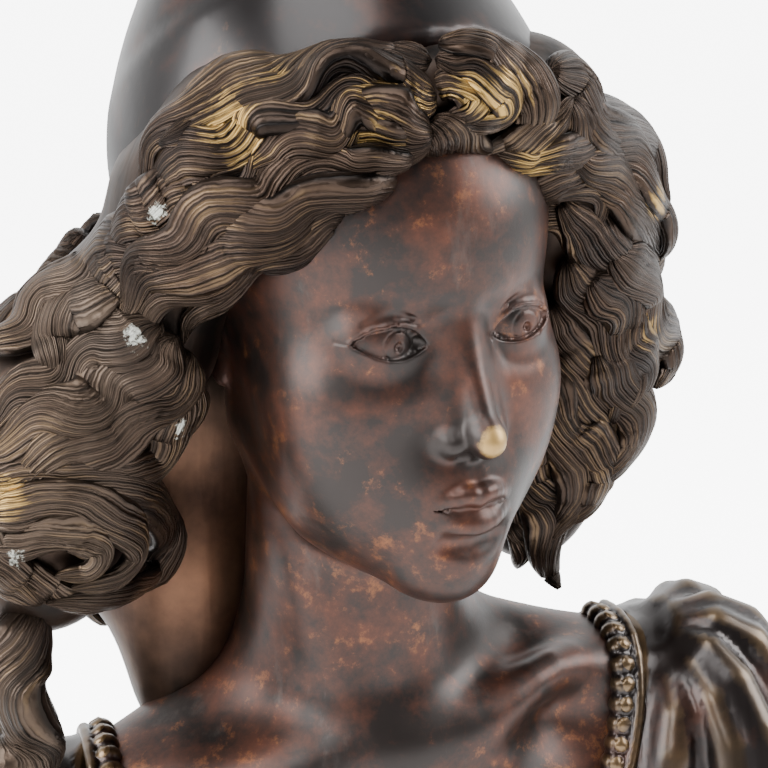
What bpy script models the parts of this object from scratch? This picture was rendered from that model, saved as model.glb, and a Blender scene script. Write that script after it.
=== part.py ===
"""A cast bronze bust of a young woman in a Phrygian cap, with long waving hair and a lace-edged blouse.

The bust is one casting, cut flat below the breast, and it stands on that cut.
Anatomy, hair and drapery are given as shares of the head's height, chin to crown.
Every form is first laid up from balls, rods and coils, then settled onto their blended surface.
"""

import math

import bmesh
import bpy
import numpy as np
from mathutils import Matrix, Vector

# Driving sizes, in metres and degrees
HEAD_HEIGHT = 0.150
LACE_WIDTH = 0.0085
HEAD_TURN = 15.0
HEAD_NOD = 7.0
HEAD_LEAN = -3.0
SHOULDER_RISE = 0.014
MOST_TRIANGLES = 9700
CLAY_VOXEL = 0.0034
CAST_VOXEL = 0.0018

# Places in head heights, in the bust's own frame: Z is up, the breast faces -Y, her left is +X
NECK_PIVOT = Vector((-0.045, 0.03, 1.52))
SKULL_PIVOT = Vector((0.0, 0.06, 0.28))
RISE = SHOULDER_RISE / HEAD_HEIGHT
SIDES = (-1, 1)

HEAD_POSE = (
    Matrix.Translation(NECK_PIVOT)
    @ Matrix.Rotation(math.radians(HEAD_TURN), 4, "Z")
    @ Matrix.Rotation(math.radians(HEAD_LEAN), 4, "Y")
    @ Matrix.Rotation(math.radians(HEAD_NOD), 4, "X")
    @ Matrix.Translation(-SKULL_PIVOT)
)


def posed(point):
    """A point of the head's own frame, in the bust's frame."""
    return tuple(HEAD_POSE @ Vector(point))


def mirrored(points, side):
    """The points for her left side as given, and for her right side with X turned round."""
    return [(side * x, y, z) for x, y, z in points]


def blended(first, second, reach):
    """The lower of two distances, with their meeting rounded over the given reach."""
    if reach <= 0:
        return np.minimum(first, second)
    near = np.maximum(reach - np.abs(first - second), 0) / reach
    return np.minimum(first, second) - near * near * reach / 4


class Clay:
    """A form laid up from lumps, each added to the ones before it or carved out of them."""

    def __init__(self, pose=None):
        self.pose = pose or Matrix.Identity(4)
        self.sections = []

    def section(self):
        """Starts a group of lumps. Past the first group, only what lies near a group feels it."""
        self.sections.append([])

    def ball(self, centre, radii, blend=0.0, carve=False):
        radii = np.array([radii] * 3 if isinstance(radii, (int, float)) else radii, float)
        self.sections[-1].append(("ball", np.array(centre, float), radii, None, blend, carve))

    def rod(self, start, end, start_radius, end_radius, blend=0.0, carve=False):
        ends = np.array([start, end], float)
        radii = (float(start_radius), float(end_radius))
        self.sections[-1].append(("rod", ends[0], ends[1], radii, blend, carve))

    def coil(self, points, radii, blend=0.0, carve=False):
        """A run of rods through the points, as one lump."""
        points, radii = np.array(points, float), np.array(radii, float)
        self.sections[-1].append(("coil", points, radii, None, blend, carve))

    def window(self, centre, radius, opening, blend=0.0):
        """Carves down to a ball, where opening, a function of the place beside its centre, is above 0."""
        self.sections[-1].append(("window", np.array(centre, float), radius, opening, blend, True))

    @staticmethod
    def from_rod(points, start, end, start_radius, end_radius):
        """Distance from a rod with round ends."""
        along = end - start
        share = np.clip((points - start) @ along / max(along @ along, 1e-12), 0, 1)
        radius = start_radius + (end_radius - start_radius) * share
        return np.linalg.norm(points - start - share[:, None] * along, axis=1) - radius

    @staticmethod
    def reach(lump):
        """The lowest and highest corner of where a lump is felt."""
        kind, first, second, extra, blend, _ = lump
        room = 0.03 + blend
        if kind == "rod":
            room += max(extra)
            return np.minimum(first, second) - room, np.maximum(first, second) + room
        if kind == "coil":
            room += max(second)
            return first.min(axis=0) - room, first.max(axis=0) + room
        return first - second - room, first + second + room

    def distance(self, points):
        """Signed distance from the form, for points in the bust's frame."""
        turn = np.array(self.pose.inverted_safe())
        local = points @ turn[:3, :3].T + turn[:3, 3]
        total = np.full(len(local), 10.0)
        for number, section in enumerate(self.sections):
            inside = np.arange(len(local))
            if number:
                low = np.min([self.reach(lump)[0] for lump in section], axis=0)
                high = np.max([self.reach(lump)[1] for lump in section], axis=0)
                inside = np.nonzero(((local > low) & (local < high)).all(axis=1))[0]
            if not len(inside):
                continue
            spot, found = local[inside], total[inside]
            for kind, first, second, extra, blend, carve in section:
                if kind == "ball":
                    scaled = np.linalg.norm((spot - first) / second, axis=1)
                    steep = np.linalg.norm((spot - first) / second**2, axis=1)
                    lump = scaled * (scaled - 1) / np.maximum(steep, 1e-9)
                elif kind == "rod":
                    lump = self.from_rod(spot, first, second, *extra)
                elif kind == "coil":
                    rods = zip(first, first[1:], second, second[1:])
                    lump = np.min([self.from_rod(spot, *rod) for rod in rods], axis=0)
                else:
                    beside = spot - first
                    lump = np.maximum(second - np.linalg.norm(beside, axis=1), -extra(beside))
                found = -blended(-found, lump, blend) if carve else blended(found, lump, blend)
            total[inside] = found
        return total

    def solids(self, template):
        """The corners of every lump that isn't carved, as copies of a template ball, in head heights."""
        copies = []
        for kind, first, second, extra, _, carve in sum(self.sections, []):
            if carve:
                continue
            if kind == "ball":
                copies.append(first + second * template)
                continue
            points, radii = ((first, second), extra) if kind == "rod" else (first, second)
            for start, end, start_radius, end_radius in zip(points, points[1:], radii, radii[1:]):
                ahead = (template @ (end - start) > 0)[:, None]
                copies.append(np.where(ahead, end + end_radius * template, start + start_radius * template))
        turn = np.array(self.pose)
        return np.array(copies) @ turn[:3, :3].T + turn[:3, 3]


def settled(points, distance, rounds, stride=0.2):
    """Points moved onto the surface where distance is 0, by no more than a stride in each round."""
    step = 2e-4
    for _ in range(rounds):
        here = distance(points)
        slope = np.stack([(distance(points + step * axis) - here) / step for axis in np.eye(3)], axis=1)
        move = np.clip(here / np.maximum((slope**2).sum(axis=1), 0.5), -stride, stride)
        points = points - slope * move[:, None]
    return points


def smooth_route(points, count):
    """A smooth curve through the points, read at equal shares of its length."""
    points = np.array(points, float)
    ends = np.vstack([2 * points[0] - points[1], points, 2 * points[-1] - points[-2]])
    fine = []
    for index in range(1, len(ends) - 2):
        a, b, c, d = ends[index - 1:index + 3]
        for t in np.linspace(0, 1, 24, endpoint=False):
            fine.append(0.5 * (2 * b + (c - a) * t + (2 * a - 5 * b + 4 * c - d) * t**2
                               + (3 * b - a - 3 * c + d) * t**3))
    fine = np.array(fine + [points[-1]])
    run = np.concatenate([[0], np.cumsum(np.linalg.norm(np.diff(fine, axis=0), axis=1))])
    wanted = np.linspace(0, run[-1], count)
    return np.stack([np.interp(wanted, run, fine[:, axis]) for axis in range(3)], axis=1)


# The head, in its own frame: the chin at 0, the crown at 1, the face towards -Y
EYE_CENTRE = (0.130, -0.290, 0.500)
EYE_RADIUS = 0.074
LID = 0.008
IRIS = 0.029
EYE_INNER, EYE_OUTER = -0.068, 0.070
UPPER_LID, LOWER_LID = 0.036, -0.023


def lid_margin(across, height):
    """Height of an eyelid's edge over the eye, from the inner corner to the outer one."""
    share = np.clip((across - EYE_INNER) / (EYE_OUTER - EYE_INNER), 0, 1)
    corner = -0.006 + 0.012 * share
    return corner + height * np.sin(math.pi * share**0.92) ** 0.85


def lid_points(side, height, lift, count=9):
    """Points along an eyelid's edge, on the eyeball."""
    points = []
    for share in np.linspace(0.0, 1.0, count):
        across = EYE_INNER + (EYE_OUTER - EYE_INNER) * share
        up = float(lid_margin(np.array(across), height))
        depth = -math.sqrt((EYE_RADIUS + lift) ** 2 - across * across - up * up)
        points.append((EYE_CENTRE[0] + across, EYE_CENTRE[1] + depth, EYE_CENTRE[2] + up))
    return mirrored(points, side)


def lid_opening(side):
    """Above 0 inside the almond between the eyelids."""

    def opening(beside):
        across = side * beside[:, 0]
        open_above = lid_margin(across, UPPER_LID) - beside[:, 2]
        open_below = beside[:, 2] - lid_margin(across, LOWER_LID)
        behind = -0.02 - beside[:, 1]
        return np.minimum(np.minimum(open_above, open_below), behind)

    return opening


def skull(clay):
    clay.section()
    clay.ball((0, 0.08, 0.64), (0.320, 0.42, 0.36))
    clay.ball((0, -0.10, 0.67), (0.280, 0.285, 0.26), 0.08)
    clay.ball((0, -0.08, 0.42), (0.275, 0.305, 0.40), 0.08)
    clay.ball((0, -0.20, 0.16), (0.130, 0.180, 0.135), 0.12)
    for side in SIDES:
        clay.coil(mirrored([(0.190, 0.03, 0.27), (0.150, -0.15, 0.135), (0.05, -0.300, 0.070)], side),
                  (0.050, 0.045, 0.045), 0.10)
        clay.ball((side * 0.150, -0.228, 0.385), (0.100, 0.105, 0.090), 0.12)
        clay.ball((side * 0.130, -0.212, 0.265), (0.112, 0.125, 0.140), 0.12)
    clay.ball((0, -0.335, 0.075), (0.070, 0.072, 0.070), 0.08)
    clay.ball((0, -0.325, 0.215), (0.115, 0.098, 0.100), 0.09)


def eyes(clay):
    x, y, z = EYE_CENTRE
    for side in SIDES:
        clay.section()
        clay.ball((side * 0.125, -0.430, 0.503), (0.088, 0.066, 0.048), 0.07, carve=True)
        clay.ball((side * 0.055, -0.425, 0.508), (0.028, 0.045, 0.045), 0.05, carve=True)
        clay.ball((side * x, y, z), EYE_RADIUS + LID, 0.030)
        crease = [(a, b - 0.002, c + 0.020) for a, b, c in lid_points(1, UPPER_LID, LID)]
        crease_radii = 0.004 * np.sin(math.pi * np.linspace(0.12, 0.88, 7))
        clay.coil(mirrored(crease[1:-1], side), crease_radii, 0.014, carve=True)
        edge_radii = 0.002 + 0.003 * np.sin(math.pi * np.linspace(0, 1, 9))
        clay.coil(lid_points(side, UPPER_LID, LID), edge_radii, 0.008)
        clay.window((side * x, y, z), EYE_RADIUS, lid_opening(side), 0.005)
        gaze = (side * x + 0.010, z - 0.002)
        ring = []
        for turn in np.linspace(0, 2 * math.pi, 15):
            a, b = gaze[0] + IRIS * math.cos(turn), gaze[1] + IRIS * math.sin(turn)
            ring.append((a, y - math.sqrt(EYE_RADIUS**2 - (a - side * x) ** 2 - (b - z) ** 2), b))
        clay.coil(ring, [0.0025] * len(ring), 0.004, carve=True)
        clay.ball((gaze[0], y - EYE_RADIUS, gaze[1]), 0.011, 0.005, carve=True)


def nose(clay):
    clay.section()
    clay.rod((0, -0.352, 0.535), (0, -0.446, 0.365), 0.020, 0.024, 0.035)
    for side in SIDES:
        clay.rod((side * 0.022, -0.345, 0.500), (side * 0.030, -0.395, 0.350), 0.022, 0.030, 0.045)
        clay.ball((side * 0.045, -0.404, 0.328), (0.021, 0.034, 0.022), 0.020)
    clay.ball((0, -0.462, 0.342), (0.029, 0.032, 0.028), 0.030)
    clay.rod((0, -0.455, 0.320), (0, -0.404, 0.303), 0.011, 0.015, 0.016)
    for side in SIDES:
        clay.ball((side * 0.024, -0.426, 0.303), (0.010, 0.020, 0.010), 0.008, carve=True)


def mouth(clay):
    clay.section()
    clay.rod((0, -0.440, 0.290), (0, -0.452, 0.250), 0.005, 0.008, 0.025, carve=True)
    upper = [(0.088, -0.366, 0.208), (0.056, -0.402, 0.222), (0.020, -0.421, 0.232), (0, -0.421, 0.226)]
    lower = [(0.084, -0.366, 0.204), (0.052, -0.396, 0.190), (0.024, -0.409, 0.182), (0, -0.411, 0.181)]
    slit = [(0.074, -0.404, 0.208), (0.050, -0.424, 0.208), (0.022, -0.441, 0.205), (0, -0.443, 0.206)]
    for side in SIDES:
        clay.coil(mirrored(upper, side), (0.008, 0.016, 0.019, 0.018), 0.016)
        clay.coil(mirrored(lower, side), (0.008, 0.019, 0.025, 0.025), 0.018)
    for side in SIDES:
        clay.coil(mirrored(slit, side), (0.004, 0.006, 0.007, 0.007), 0.012, carve=True)
    under_lip = [(-0.05, -0.416, 0.136), (0, -0.424, 0.131), (0.05, -0.416, 0.136)]
    clay.coil(under_lip, (0.004, 0.008, 0.004), 0.04, carve=True)


def ears(clay):
    for side in SIDES:
        clay.section()
        rim = [(0.275, 0.00, 0.42), (0.290, -0.005, 0.50), (0.305, 0.04, 0.555), (0.310, 0.10, 0.545),
               (0.302, 0.125, 0.48), (0.285, 0.09, 0.41), (0.272, 0.045, 0.365)]
        clay.ball((side * 0.268, 0.05, 0.46), (0.03, 0.06, 0.09), 0.02)
        clay.coil(mirrored(rim, side), (0.012, 0.014, 0.016, 0.016, 0.015, 0.014, 0.014), 0.012)
        clay.ball((side * 0.272, 0.035, 0.358), (0.018, 0.026, 0.028), 0.015)
        clay.ball((side * 0.295, 0.045, 0.455), (0.018, 0.03, 0.05), 0.015, carve=True)


def head_clay():
    clay = Clay(HEAD_POSE)
    for part in (skull, eyes, nose, mouth, ears):
        part(clay)
    return clay


def torso_clay():
    """Neck, shoulders and breast, in the bust's own frame."""
    clay = Clay()
    clay.section()
    clay.ball((0, 0.10, 0.36), (0.54, 0.32, 0.50))
    clay.ball((0, 0.04, 0.66), (0.46, 0.21, 0.25), 0.16)
    for side in SIDES:
        lift = side * RISE
        clay.ball((side * 0.56, 0.12, 0.56 + lift), (0.20, 0.20, 0.24), 0.14)
        clay.rod((0, 0.17, 0.96), (side * 0.50, 0.14, 0.74 + lift), 0.14, 0.12, 0.14)
        clay.ball((side * 0.24, -0.12, 0.17), (0.23, 0.22, 0.25), 0.14)
    clay.rod((0, 0.11, 0.70), posed((0, 0.045, 0.20)), 0.25, 0.195, 0.12)
    clay.section()
    for side in SIDES:
        lift = side * RISE
        clay.rod(posed((side * 0.19, 0.06, 0.22)), (side * 0.042, -0.115, 0.850), 0.030, 0.026, 0.07)
        collarbone = [(side * 0.045, -0.120, 0.826), (side * 0.20, -0.118, 0.830 + lift * 0.4),
                      (side * 0.36, -0.055, 0.835 + lift), (side * 0.50, 0.04, 0.80 + lift)]
        clay.coil(smooth_route(collarbone, 10), np.linspace(0.034, 0.026, 10), 0.12)
    return clay


# The cap: a soft bag whose peak rises at the back and curls over to the front
CAP_TOP = (0.0, 0.10, 0.73)
CAP_RADII = (0.425, 0.460, 0.395)
CAP_PEAK = ((0.0, 0.18, 0.92), (-0.01, 0.28, 1.06), (-0.01, 0.28, 1.18), (0.0, 0.20, 1.28),
            (0.01, 0.08, 1.31), (0.02, -0.04, 1.27), (0.03, -0.12, 1.20))
CAP_GIRTH = (0.315, 0.27, 0.225, 0.18, 0.145, 0.11, 0.075)
CAP_STEPS = 22
BRIM_FRONT = np.array((0.0, -0.235, 0.985))
BRIM_SLOPE = math.radians(52)
BRIM_EDGE = 0.030


def behind_brim(points):
    """Distance in front of the cap's brim, in the head's frame: below 0 where the cap covers the head."""
    facing = np.array((0.0, -math.sin(BRIM_SLOPE), -math.cos(BRIM_SLOPE)))
    sideways = 0.16 * np.abs(points[:, 0]) ** 2
    return (points - BRIM_FRONT) @ facing + sideways


def cap_clay():
    clay = Clay(HEAD_POSE)
    clay.section()
    clay.ball(CAP_TOP, CAP_RADII)
    shares = np.linspace(0, 1, len(CAP_GIRTH))
    girth = np.interp(np.linspace(0, 1, CAP_STEPS), shares, CAP_GIRTH)
    clay.coil(smooth_route(CAP_PEAK, CAP_STEPS), girth, 0.14)
    return clay


def cap_distance(clay, points):
    """Distance from the cap: the bag, cut at the brim with a rounded edge."""
    local = in_head(points)
    cut = behind_brim(local)
    return -blended(-clay.distance(points), -cut, BRIM_EDGE)


# Hair: broad masses, and waving locks that lie on them
HAIR_MASSES = {
    -1: (((-0.25, -0.07, 0.84), (0.15, 0.18, 0.13)), ((-0.35, 0.03, 0.66), (0.12, 0.20, 0.17)),
         ((-0.42, 0.12, 0.44), (0.16, 0.20, 0.17)), ((-0.56, 0.13, 0.26), (0.18, 0.20, 0.20)),
         ((-0.62, 0.10, 0.06), (0.16, 0.16, 0.17))),
    1: (((0.27, -0.09, 0.84), (0.15, 0.17, 0.13)), ((0.37, -0.02, 0.64), (0.18, 0.22, 0.20)),
        ((0.43, 0.04, 0.38), (0.18, 0.21, 0.22)), ((0.38, 0.07, 0.13), (0.13, 0.16, 0.19))),
}
NAPE_MASSES = (((-0.04, 0.36, 0.30), (0.44, 0.20, 0.40)), ((-0.06, 0.36, -0.05), (0.44, 0.17, 0.30)),
               ((-0.27, 0.25, -0.25), (0.13, 0.12, 0.28)))
HAIRLINE = ((0.0, -0.285, 0.930), (0.13, -0.275, 0.905), (0.235, -0.215, 0.815), (0.290, -0.120, 0.680))
LOCK_STEPS = 17
SKULL_MIDDLE = (0.0, 0.10, 0.0)


def in_head(points):
    """Points of the bust's frame, in the head's own frame."""
    turn = np.array(HEAD_POSE.inverted_safe())
    return points @ turn[:3, :3].T + turn[:3, 3]


def hair_base():
    clay = Clay(HEAD_POSE)
    clay.section()
    for side in SIDES:
        for centre, radii in HAIR_MASSES[side]:
            clay.ball(centre, radii, 0.10)
        clay.coil(mirrored(HAIRLINE, side), (0.045, 0.065, 0.070, 0.060), 0.08)
    for centre, radii in NAPE_MASSES:
        clay.ball(centre, radii, 0.12)
    return clay


def lock_route(base, start, end, bow, waves, height, lift):
    """A lock's middle line on the hair's base, from a start to an end in the head's frame.

    bow bends the whole route sideways, waves and height give its S-curves, lift its rise over the base.
    """
    share = np.linspace(0, 1, LOCK_STEPS)
    start, end = np.array(start, float), np.array(end, float)
    route = start + (end - start) * share[:, None]
    along = (end - start) / np.linalg.norm(end - start)
    outward = route - np.array(SKULL_MIDDLE)
    outward[:, 2] *= 0.25
    outward /= np.linalg.norm(outward, axis=1)[:, None]
    across = np.cross(along, outward)
    across /= np.linalg.norm(across, axis=1)[:, None]
    swing = bow * np.sin(math.pi * share) + height * np.sin(2 * math.pi * waves * share) * (0.4 + 0.6 * share)
    route = route + across * swing[:, None]
    for _ in range(6):
        world = route @ np.array(HEAD_POSE)[:3, :3].T + np.array(HEAD_POSE)[:3, 3]
        route = route + outward * np.clip(lift - base.distance(world), -0.05, 0.05)[:, None]
    return route


LOCK_FAMILIES = (
    # first start, last start, first end, last end, count, bow, waves, wave height, radius
    ((-0.03, -0.32, 0.97), (-0.03, -0.22, 1.04), (-0.36, -0.10, 0.60), (-0.44, 0.14, 0.72),
     5, 0.08, 1.5, 0.030, 0.046),
    ((-0.30, -0.14, 0.70), (-0.42, 0.14, 0.70), (-0.66, 0.02, 0.22), (-0.70, 0.24, 0.34),
     5, -0.06, 1.5, 0.034, 0.046),
    ((-0.42, 0.00, 0.42), (-0.60, 0.22, 0.40), (-0.58, -0.02, -0.08), (-0.74, 0.14, -0.02),
     6, 0.05, 1.5, 0.040, 0.044),
    ((0.03, -0.32, 0.97), (0.03, -0.22, 1.04), (0.42, -0.18, 0.68), (0.46, 0.12, 0.80),
     5, -0.08, 1.5, 0.030, 0.046),
    ((0.32, -0.20, 0.74), (0.44, 0.12, 0.74), (0.58, -0.10, 0.36), (0.62, 0.14, 0.40),
     4, 0.08, 1.5, 0.044, 0.046),
    ((0.42, -0.14, 0.52), (0.60, 0.10, 0.46), (0.44, -0.10, 0.12), (0.54, 0.10, 0.14),
     4, 0.07, 1.5, 0.044, 0.044),
    ((0.42, -0.10, 0.26), (0.52, 0.10, 0.22), (0.34, -0.06, -0.06), (0.42, 0.06, -0.04),
     4, -0.05, 1.0, 0.034, 0.040),
    ((-0.42, 0.46, 0.50), (0.40, 0.46, 0.50), (-0.46, 0.46, -0.32), (0.38, 0.46, -0.32),
     8, 0.03, 2.0, 0.034, 0.056),
)


def lock_routes(base):
    """Every lock's route and radius, family by family."""
    routes = []
    for first, last, first_end, last_end, count, bow, waves, height, radius in LOCK_FAMILIES:
        for share in np.linspace(0, 1, count):
            start = np.array(first) * (1 - share) + np.array(last) * share
            end = np.array(first_end) * (1 - share) + np.array(last_end) * share
            routes.append((lock_route(base, start, end, bow, waves, height, 0.65 * radius), radius))
    return routes


# The free lock that hangs beside the neck on her right, and meets the sleeve
HANGING_LOCK = ((-0.66, 0.02, -0.02), (-0.72, -0.02, -0.14), (-0.70, -0.05, -0.26), (-0.75, -0.04, -0.38),
                (-0.73, -0.01, -0.50))


def hair_clay():
    base = hair_base()
    clay = hair_base()
    for route, radius in lock_routes(base):
        clay.section()
        girth = radius * np.sin(math.pi * np.linspace(0.04, 0.92, len(route))) ** 0.5
        clay.coil(route, girth, 0.006)
    clay.section()
    clay.coil(smooth_route(HANGING_LOCK, 12), np.linspace(0.075, 0.040, 12), 0.03)
    return clay


# Blouse: cloth over the breast and back below a wide neckline, and two full sleeves
CLOTH = 0.022
NECKLINE_CENTRE = (0.0, 0.97)
NECKLINE_HALF = (0.56, 0.60)
NECKLINE_BACK = 0.22
NECKLINE_SQUARE = 2.6
NECKLINE_TILT = 1.6 * RISE
LACE_TURNS = (196, 344)
SCALLOPS = 44
SLEEVE_CENTRE = (0.73, 0.10, 0.40)
SLEEVE_RADII = (0.275, 0.30, 0.50)
SLEEVE_FOLDS = 9
FOLD_RADIUS = 0.046


def neckline(points):
    """Above 0 inside the neckline's opening, seen from the front, and higher up at the back."""
    x, z = points[:, 0], points[:, 2] - NECKLINE_TILT * points[:, 0] - NECKLINE_CENTRE[1]
    depth = np.where(points[:, 1] > 0.12, NECKLINE_BACK, NECKLINE_HALF[1])
    across = np.abs(x / NECKLINE_HALF[0]) ** NECKLINE_SQUARE
    down = np.abs(np.minimum(z, 0) / depth) ** NECKLINE_SQUARE
    rounded = (across + down) ** (1 / NECKLINE_SQUARE)
    return (1 - rounded) * 0.5


def blouse_distance(torso, points):
    return np.maximum(torso.distance(points) - CLOTH, neckline(points))


def sleeve_clay():
    clay = Clay()
    clay.section()
    for side in SIDES:
        centre = np.array(SLEEVE_CENTRE) * (side, 1, 1) + (0, 0, side * RISE)
        clay.ball(centre, SLEEVE_RADII)
        clay.rod(centre, centre * (0.97, 0.9, 0) - (0, 0, 0.15), 0.27, 0.24, 0.10)
    for side in SIDES:
        centre = np.array(SLEEVE_CENTRE) * (side, 1, 1) + (0, 0, side * RISE)
        gather = centre + np.array((-side * 0.20, -0.05, SLEEVE_RADII[2] * 0.80))
        for number in range(SLEEVE_FOLDS):
            turn = math.radians(-150 + 300 * number / (SLEEVE_FOLDS - 1))
            route = []
            for share in np.linspace(0.06, 1.0, 8):
                droop = turn * (0.55 + 0.45 * share) + 0.10 * math.sin(3 * number + 5 * share)
                polar = math.radians(20 + 125 * share)
                spot = np.array((side * math.cos(droop) * math.sin(polar), -math.sin(droop) * math.sin(polar),
                                 math.cos(polar)))
                place = centre + np.array(SLEEVE_RADII) * spot
                pull = (1 - share) ** 2 * 0.8
                route.append(place * (1 - pull) + gather * pull)
            girth = FOLD_RADIUS * (0.5 + 0.8 * np.sin(math.pi * np.linspace(0, 1, len(route))) ** 0.7)
            girth = np.interp(np.linspace(0, 1, 12), np.linspace(0, 1, 8), girth)
            clay.section()
            clay.coil(smooth_route(route, 12), girth, 0.018)
    return clay


def lace_route(torso, count):
    """The neckline's edge on the blouse, from her right shoulder round the front to her left."""
    route = []
    power = 2 / NECKLINE_SQUARE
    for turn in np.linspace(*np.radians(LACE_TURNS), count):
        c, s = math.cos(turn), math.sin(turn)
        x = NECKLINE_HALF[0] * math.copysign(abs(c) ** power, c)
        z = NECKLINE_CENTRE[1] - NECKLINE_HALF[1] * abs(s) ** power + NECKLINE_TILT * x
        route.append((x, -0.6, z))
    route = smooth_route(route, count)
    for _ in range(14):
        route[:, 1] += np.clip(torso.distance(route) - CLOTH, -0.1, 0.1)
    return route


def whole_distance(points, forms):
    head, torso, cap, hair, sleeves, lace = forms
    total = blended(head.distance(points), torso.distance(points), 0.05)
    cloth = blended(blouse_distance(torso, points), sleeves.distance(points), 0.05)
    cloth = blended(cloth, lace.distance(points), 0.008)
    total = blended(total, cloth, 0.006)
    total = blended(total, hair.distance(points), 0.010)
    return blended(total, cap_distance(cap, points), 0.008)


def rough_blouse():
    """A first thick layer of cloth over the breast, as rows of balls."""
    clay = Clay()
    clay.section()
    for x in np.linspace(-0.5, 0.5, 9):
        for z in np.linspace(0.0, 0.5, 5):
            clay.ball((x, 0.02, z), 0.16)
    return clay


def rough_mesh(forms):
    """A mesh of balls and rods that overlap, one for each lump of the forms."""
    ball = bmesh.new()
    bmesh.ops.create_icosphere(ball, subdivisions=3, radius=1)
    template = np.array([vert.co for vert in ball.verts])
    corners = np.array([[vert.index for vert in face.verts] for face in ball.faces])
    ball.free()
    copies = np.concatenate([form.solids(template) for form in forms])
    shifts = np.arange(len(copies))[:, None, None] * len(template)
    mesh = bpy.data.meshes.new("marianne_bust")
    mesh.from_pydata(copies.reshape(-1, 3).tolist(), [], (corners + shifts).reshape(-1, 3).tolist())
    return mesh


def bronze():
    material = bpy.data.materials.new("dark_bronze")
    material.use_nodes = True
    shader = material.node_tree.nodes["Principled BSDF"]
    shader.inputs["Base Color"].default_value = (0.060, 0.040, 0.028, 1)
    shader.inputs["Metallic"].default_value = 1.0
    shader.inputs["Roughness"].default_value = 0.38
    return material


def lace_clay(torso):
    """The lace: a cord along the neckline's edge, and a row of scallops on the cloth beside it."""
    clay = Clay()
    half = LACE_WIDTH / HEAD_HEIGHT / 2
    route = lace_route(torso, SCALLOPS + 1)
    clay.section()
    clay.coil(route, [0.45 * half] * len(route), 0.004)
    for spot, after in zip(route, route[1:]):
        ahead = (after - spot) / np.linalg.norm(after - spot)
        aside = np.cross(ahead, (0, 1, 0))
        aside *= -np.sign(aside[2]) / np.linalg.norm(aside)
        centre = (spot + after) / 2 + aside * half
        clay.ball(centre, (0.9 * half, 0.5 * half, 0.9 * half), 0.006)
    return clay


def remeshed(thing, voxel):
    """Applies a voxel Remesh, and returns the new mesh's points."""
    modifier = thing.modifiers.new("remesh", "REMESH")
    modifier.mode = "VOXEL"
    modifier.voxel_size = voxel
    return applied(thing)


def applied(thing):
    """Gives an object the mesh that its modifiers make, and returns its points."""
    graph = bpy.context.evaluated_depsgraph_get()
    mesh = bpy.data.meshes.new_from_object(thing.evaluated_get(graph))
    thing.modifiers.clear()
    old = thing.data
    thing.data = mesh
    bpy.data.meshes.remove(old)
    points = np.empty(len(mesh.vertices) * 3)
    mesh.vertices.foreach_get("co", points)
    return points.reshape(-1, 3)


def put(thing, points):
    thing.data.vertices.foreach_set("co", np.ascontiguousarray(points).ravel())
    thing.data.update()


def cast():
    """The whole bust as one closed mesh."""
    head, torso, cap, hair, sleeves = head_clay(), torso_clay(), cap_clay(), hair_clay(), sleeve_clay()
    forms = (head, torso, cap, hair, sleeves, lace_clay(torso))
    mesh = rough_mesh(forms + (rough_blouse(),))
    bust = bpy.data.objects.new("marianne_bust", mesh)
    bpy.context.scene.collection.objects.link(bust)

    def form(points):
        return whole_distance(points, forms)

    points = remeshed(bust, CLAY_VOXEL / HEAD_HEIGHT)
    put(bust, settled(points, form, 2))
    points = remeshed(bust, CAST_VOXEL / HEAD_HEIGHT)
    put(bust, settled(points, form, 2, CAST_VOXEL / HEAD_HEIGHT / 2) * HEAD_HEIGHT)
    return bust


def thinned(bust):
    """Brings the cast down to few triangles, with more of them kept on the face."""
    points = np.empty(len(bust.data.vertices) * 3)
    bust.data.vertices.foreach_get("co", points)
    local = in_head(points.reshape(-1, 3) / HEAD_HEIGHT)
    on_face = (np.linalg.norm((local - (0, -0.33, 0.38)) / (0.24, 0.20, 0.34), axis=1) < 1)
    group = bust.vertex_groups.new(name="coarse")
    group.add([int(number) for number in np.nonzero(~on_face)[0]], 1.0, "REPLACE")
    group.add([int(number) for number in np.nonzero(on_face)[0]], 0.35, "REPLACE")
    triangles = sum(len(face.vertices) - 2 for face in bust.data.polygons)
    modifier = bust.modifiers.new("thin", "DECIMATE")
    modifier.ratio = MOST_TRIANGLES / triangles
    modifier.vertex_group = "coarse"
    modifier.vertex_group_factor = 1.0
    modifier.use_collapse_triangulate = True
    applied(bust)
    bust.vertex_groups.clear()


def cut_flat(bust):
    """Cuts the cast at the ground, and closes it with one flat face."""
    work = bmesh.new()
    work.from_mesh(bust.data)
    everything = work.verts[:] + work.edges[:] + work.faces[:]
    cut = bmesh.ops.bisect_plane(work, geom=everything, dist=1e-6, plane_co=(0, 0, 0), plane_no=(0, 0, 1),
                                 clear_inner=True)
    rim = [item for item in cut["geom_cut"] if isinstance(item, bmesh.types.BMEdge)]
    bmesh.ops.holes_fill(work, edges=rim, sides=0)
    bmesh.ops.recalc_face_normals(work, faces=work.faces[:])
    work.to_mesh(bust.data)
    work.free()


def build():
    for thing in list(bpy.data.objects):
        bpy.data.objects.remove(thing)
    bust = cast()
    thinned(bust)
    cut_flat(bust)
    bust.data.materials.append(bronze())
    bust.data.shade_smooth()
    bust.data.set_sharp_from_angle(angle=math.radians(50))


build()
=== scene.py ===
"""A cast bronze bust of a young woman in a Phrygian cap, dressed for a studio picture."""

import math

import bmesh
import bpy
import numpy as np
from mathutils import Matrix, Vector


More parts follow.
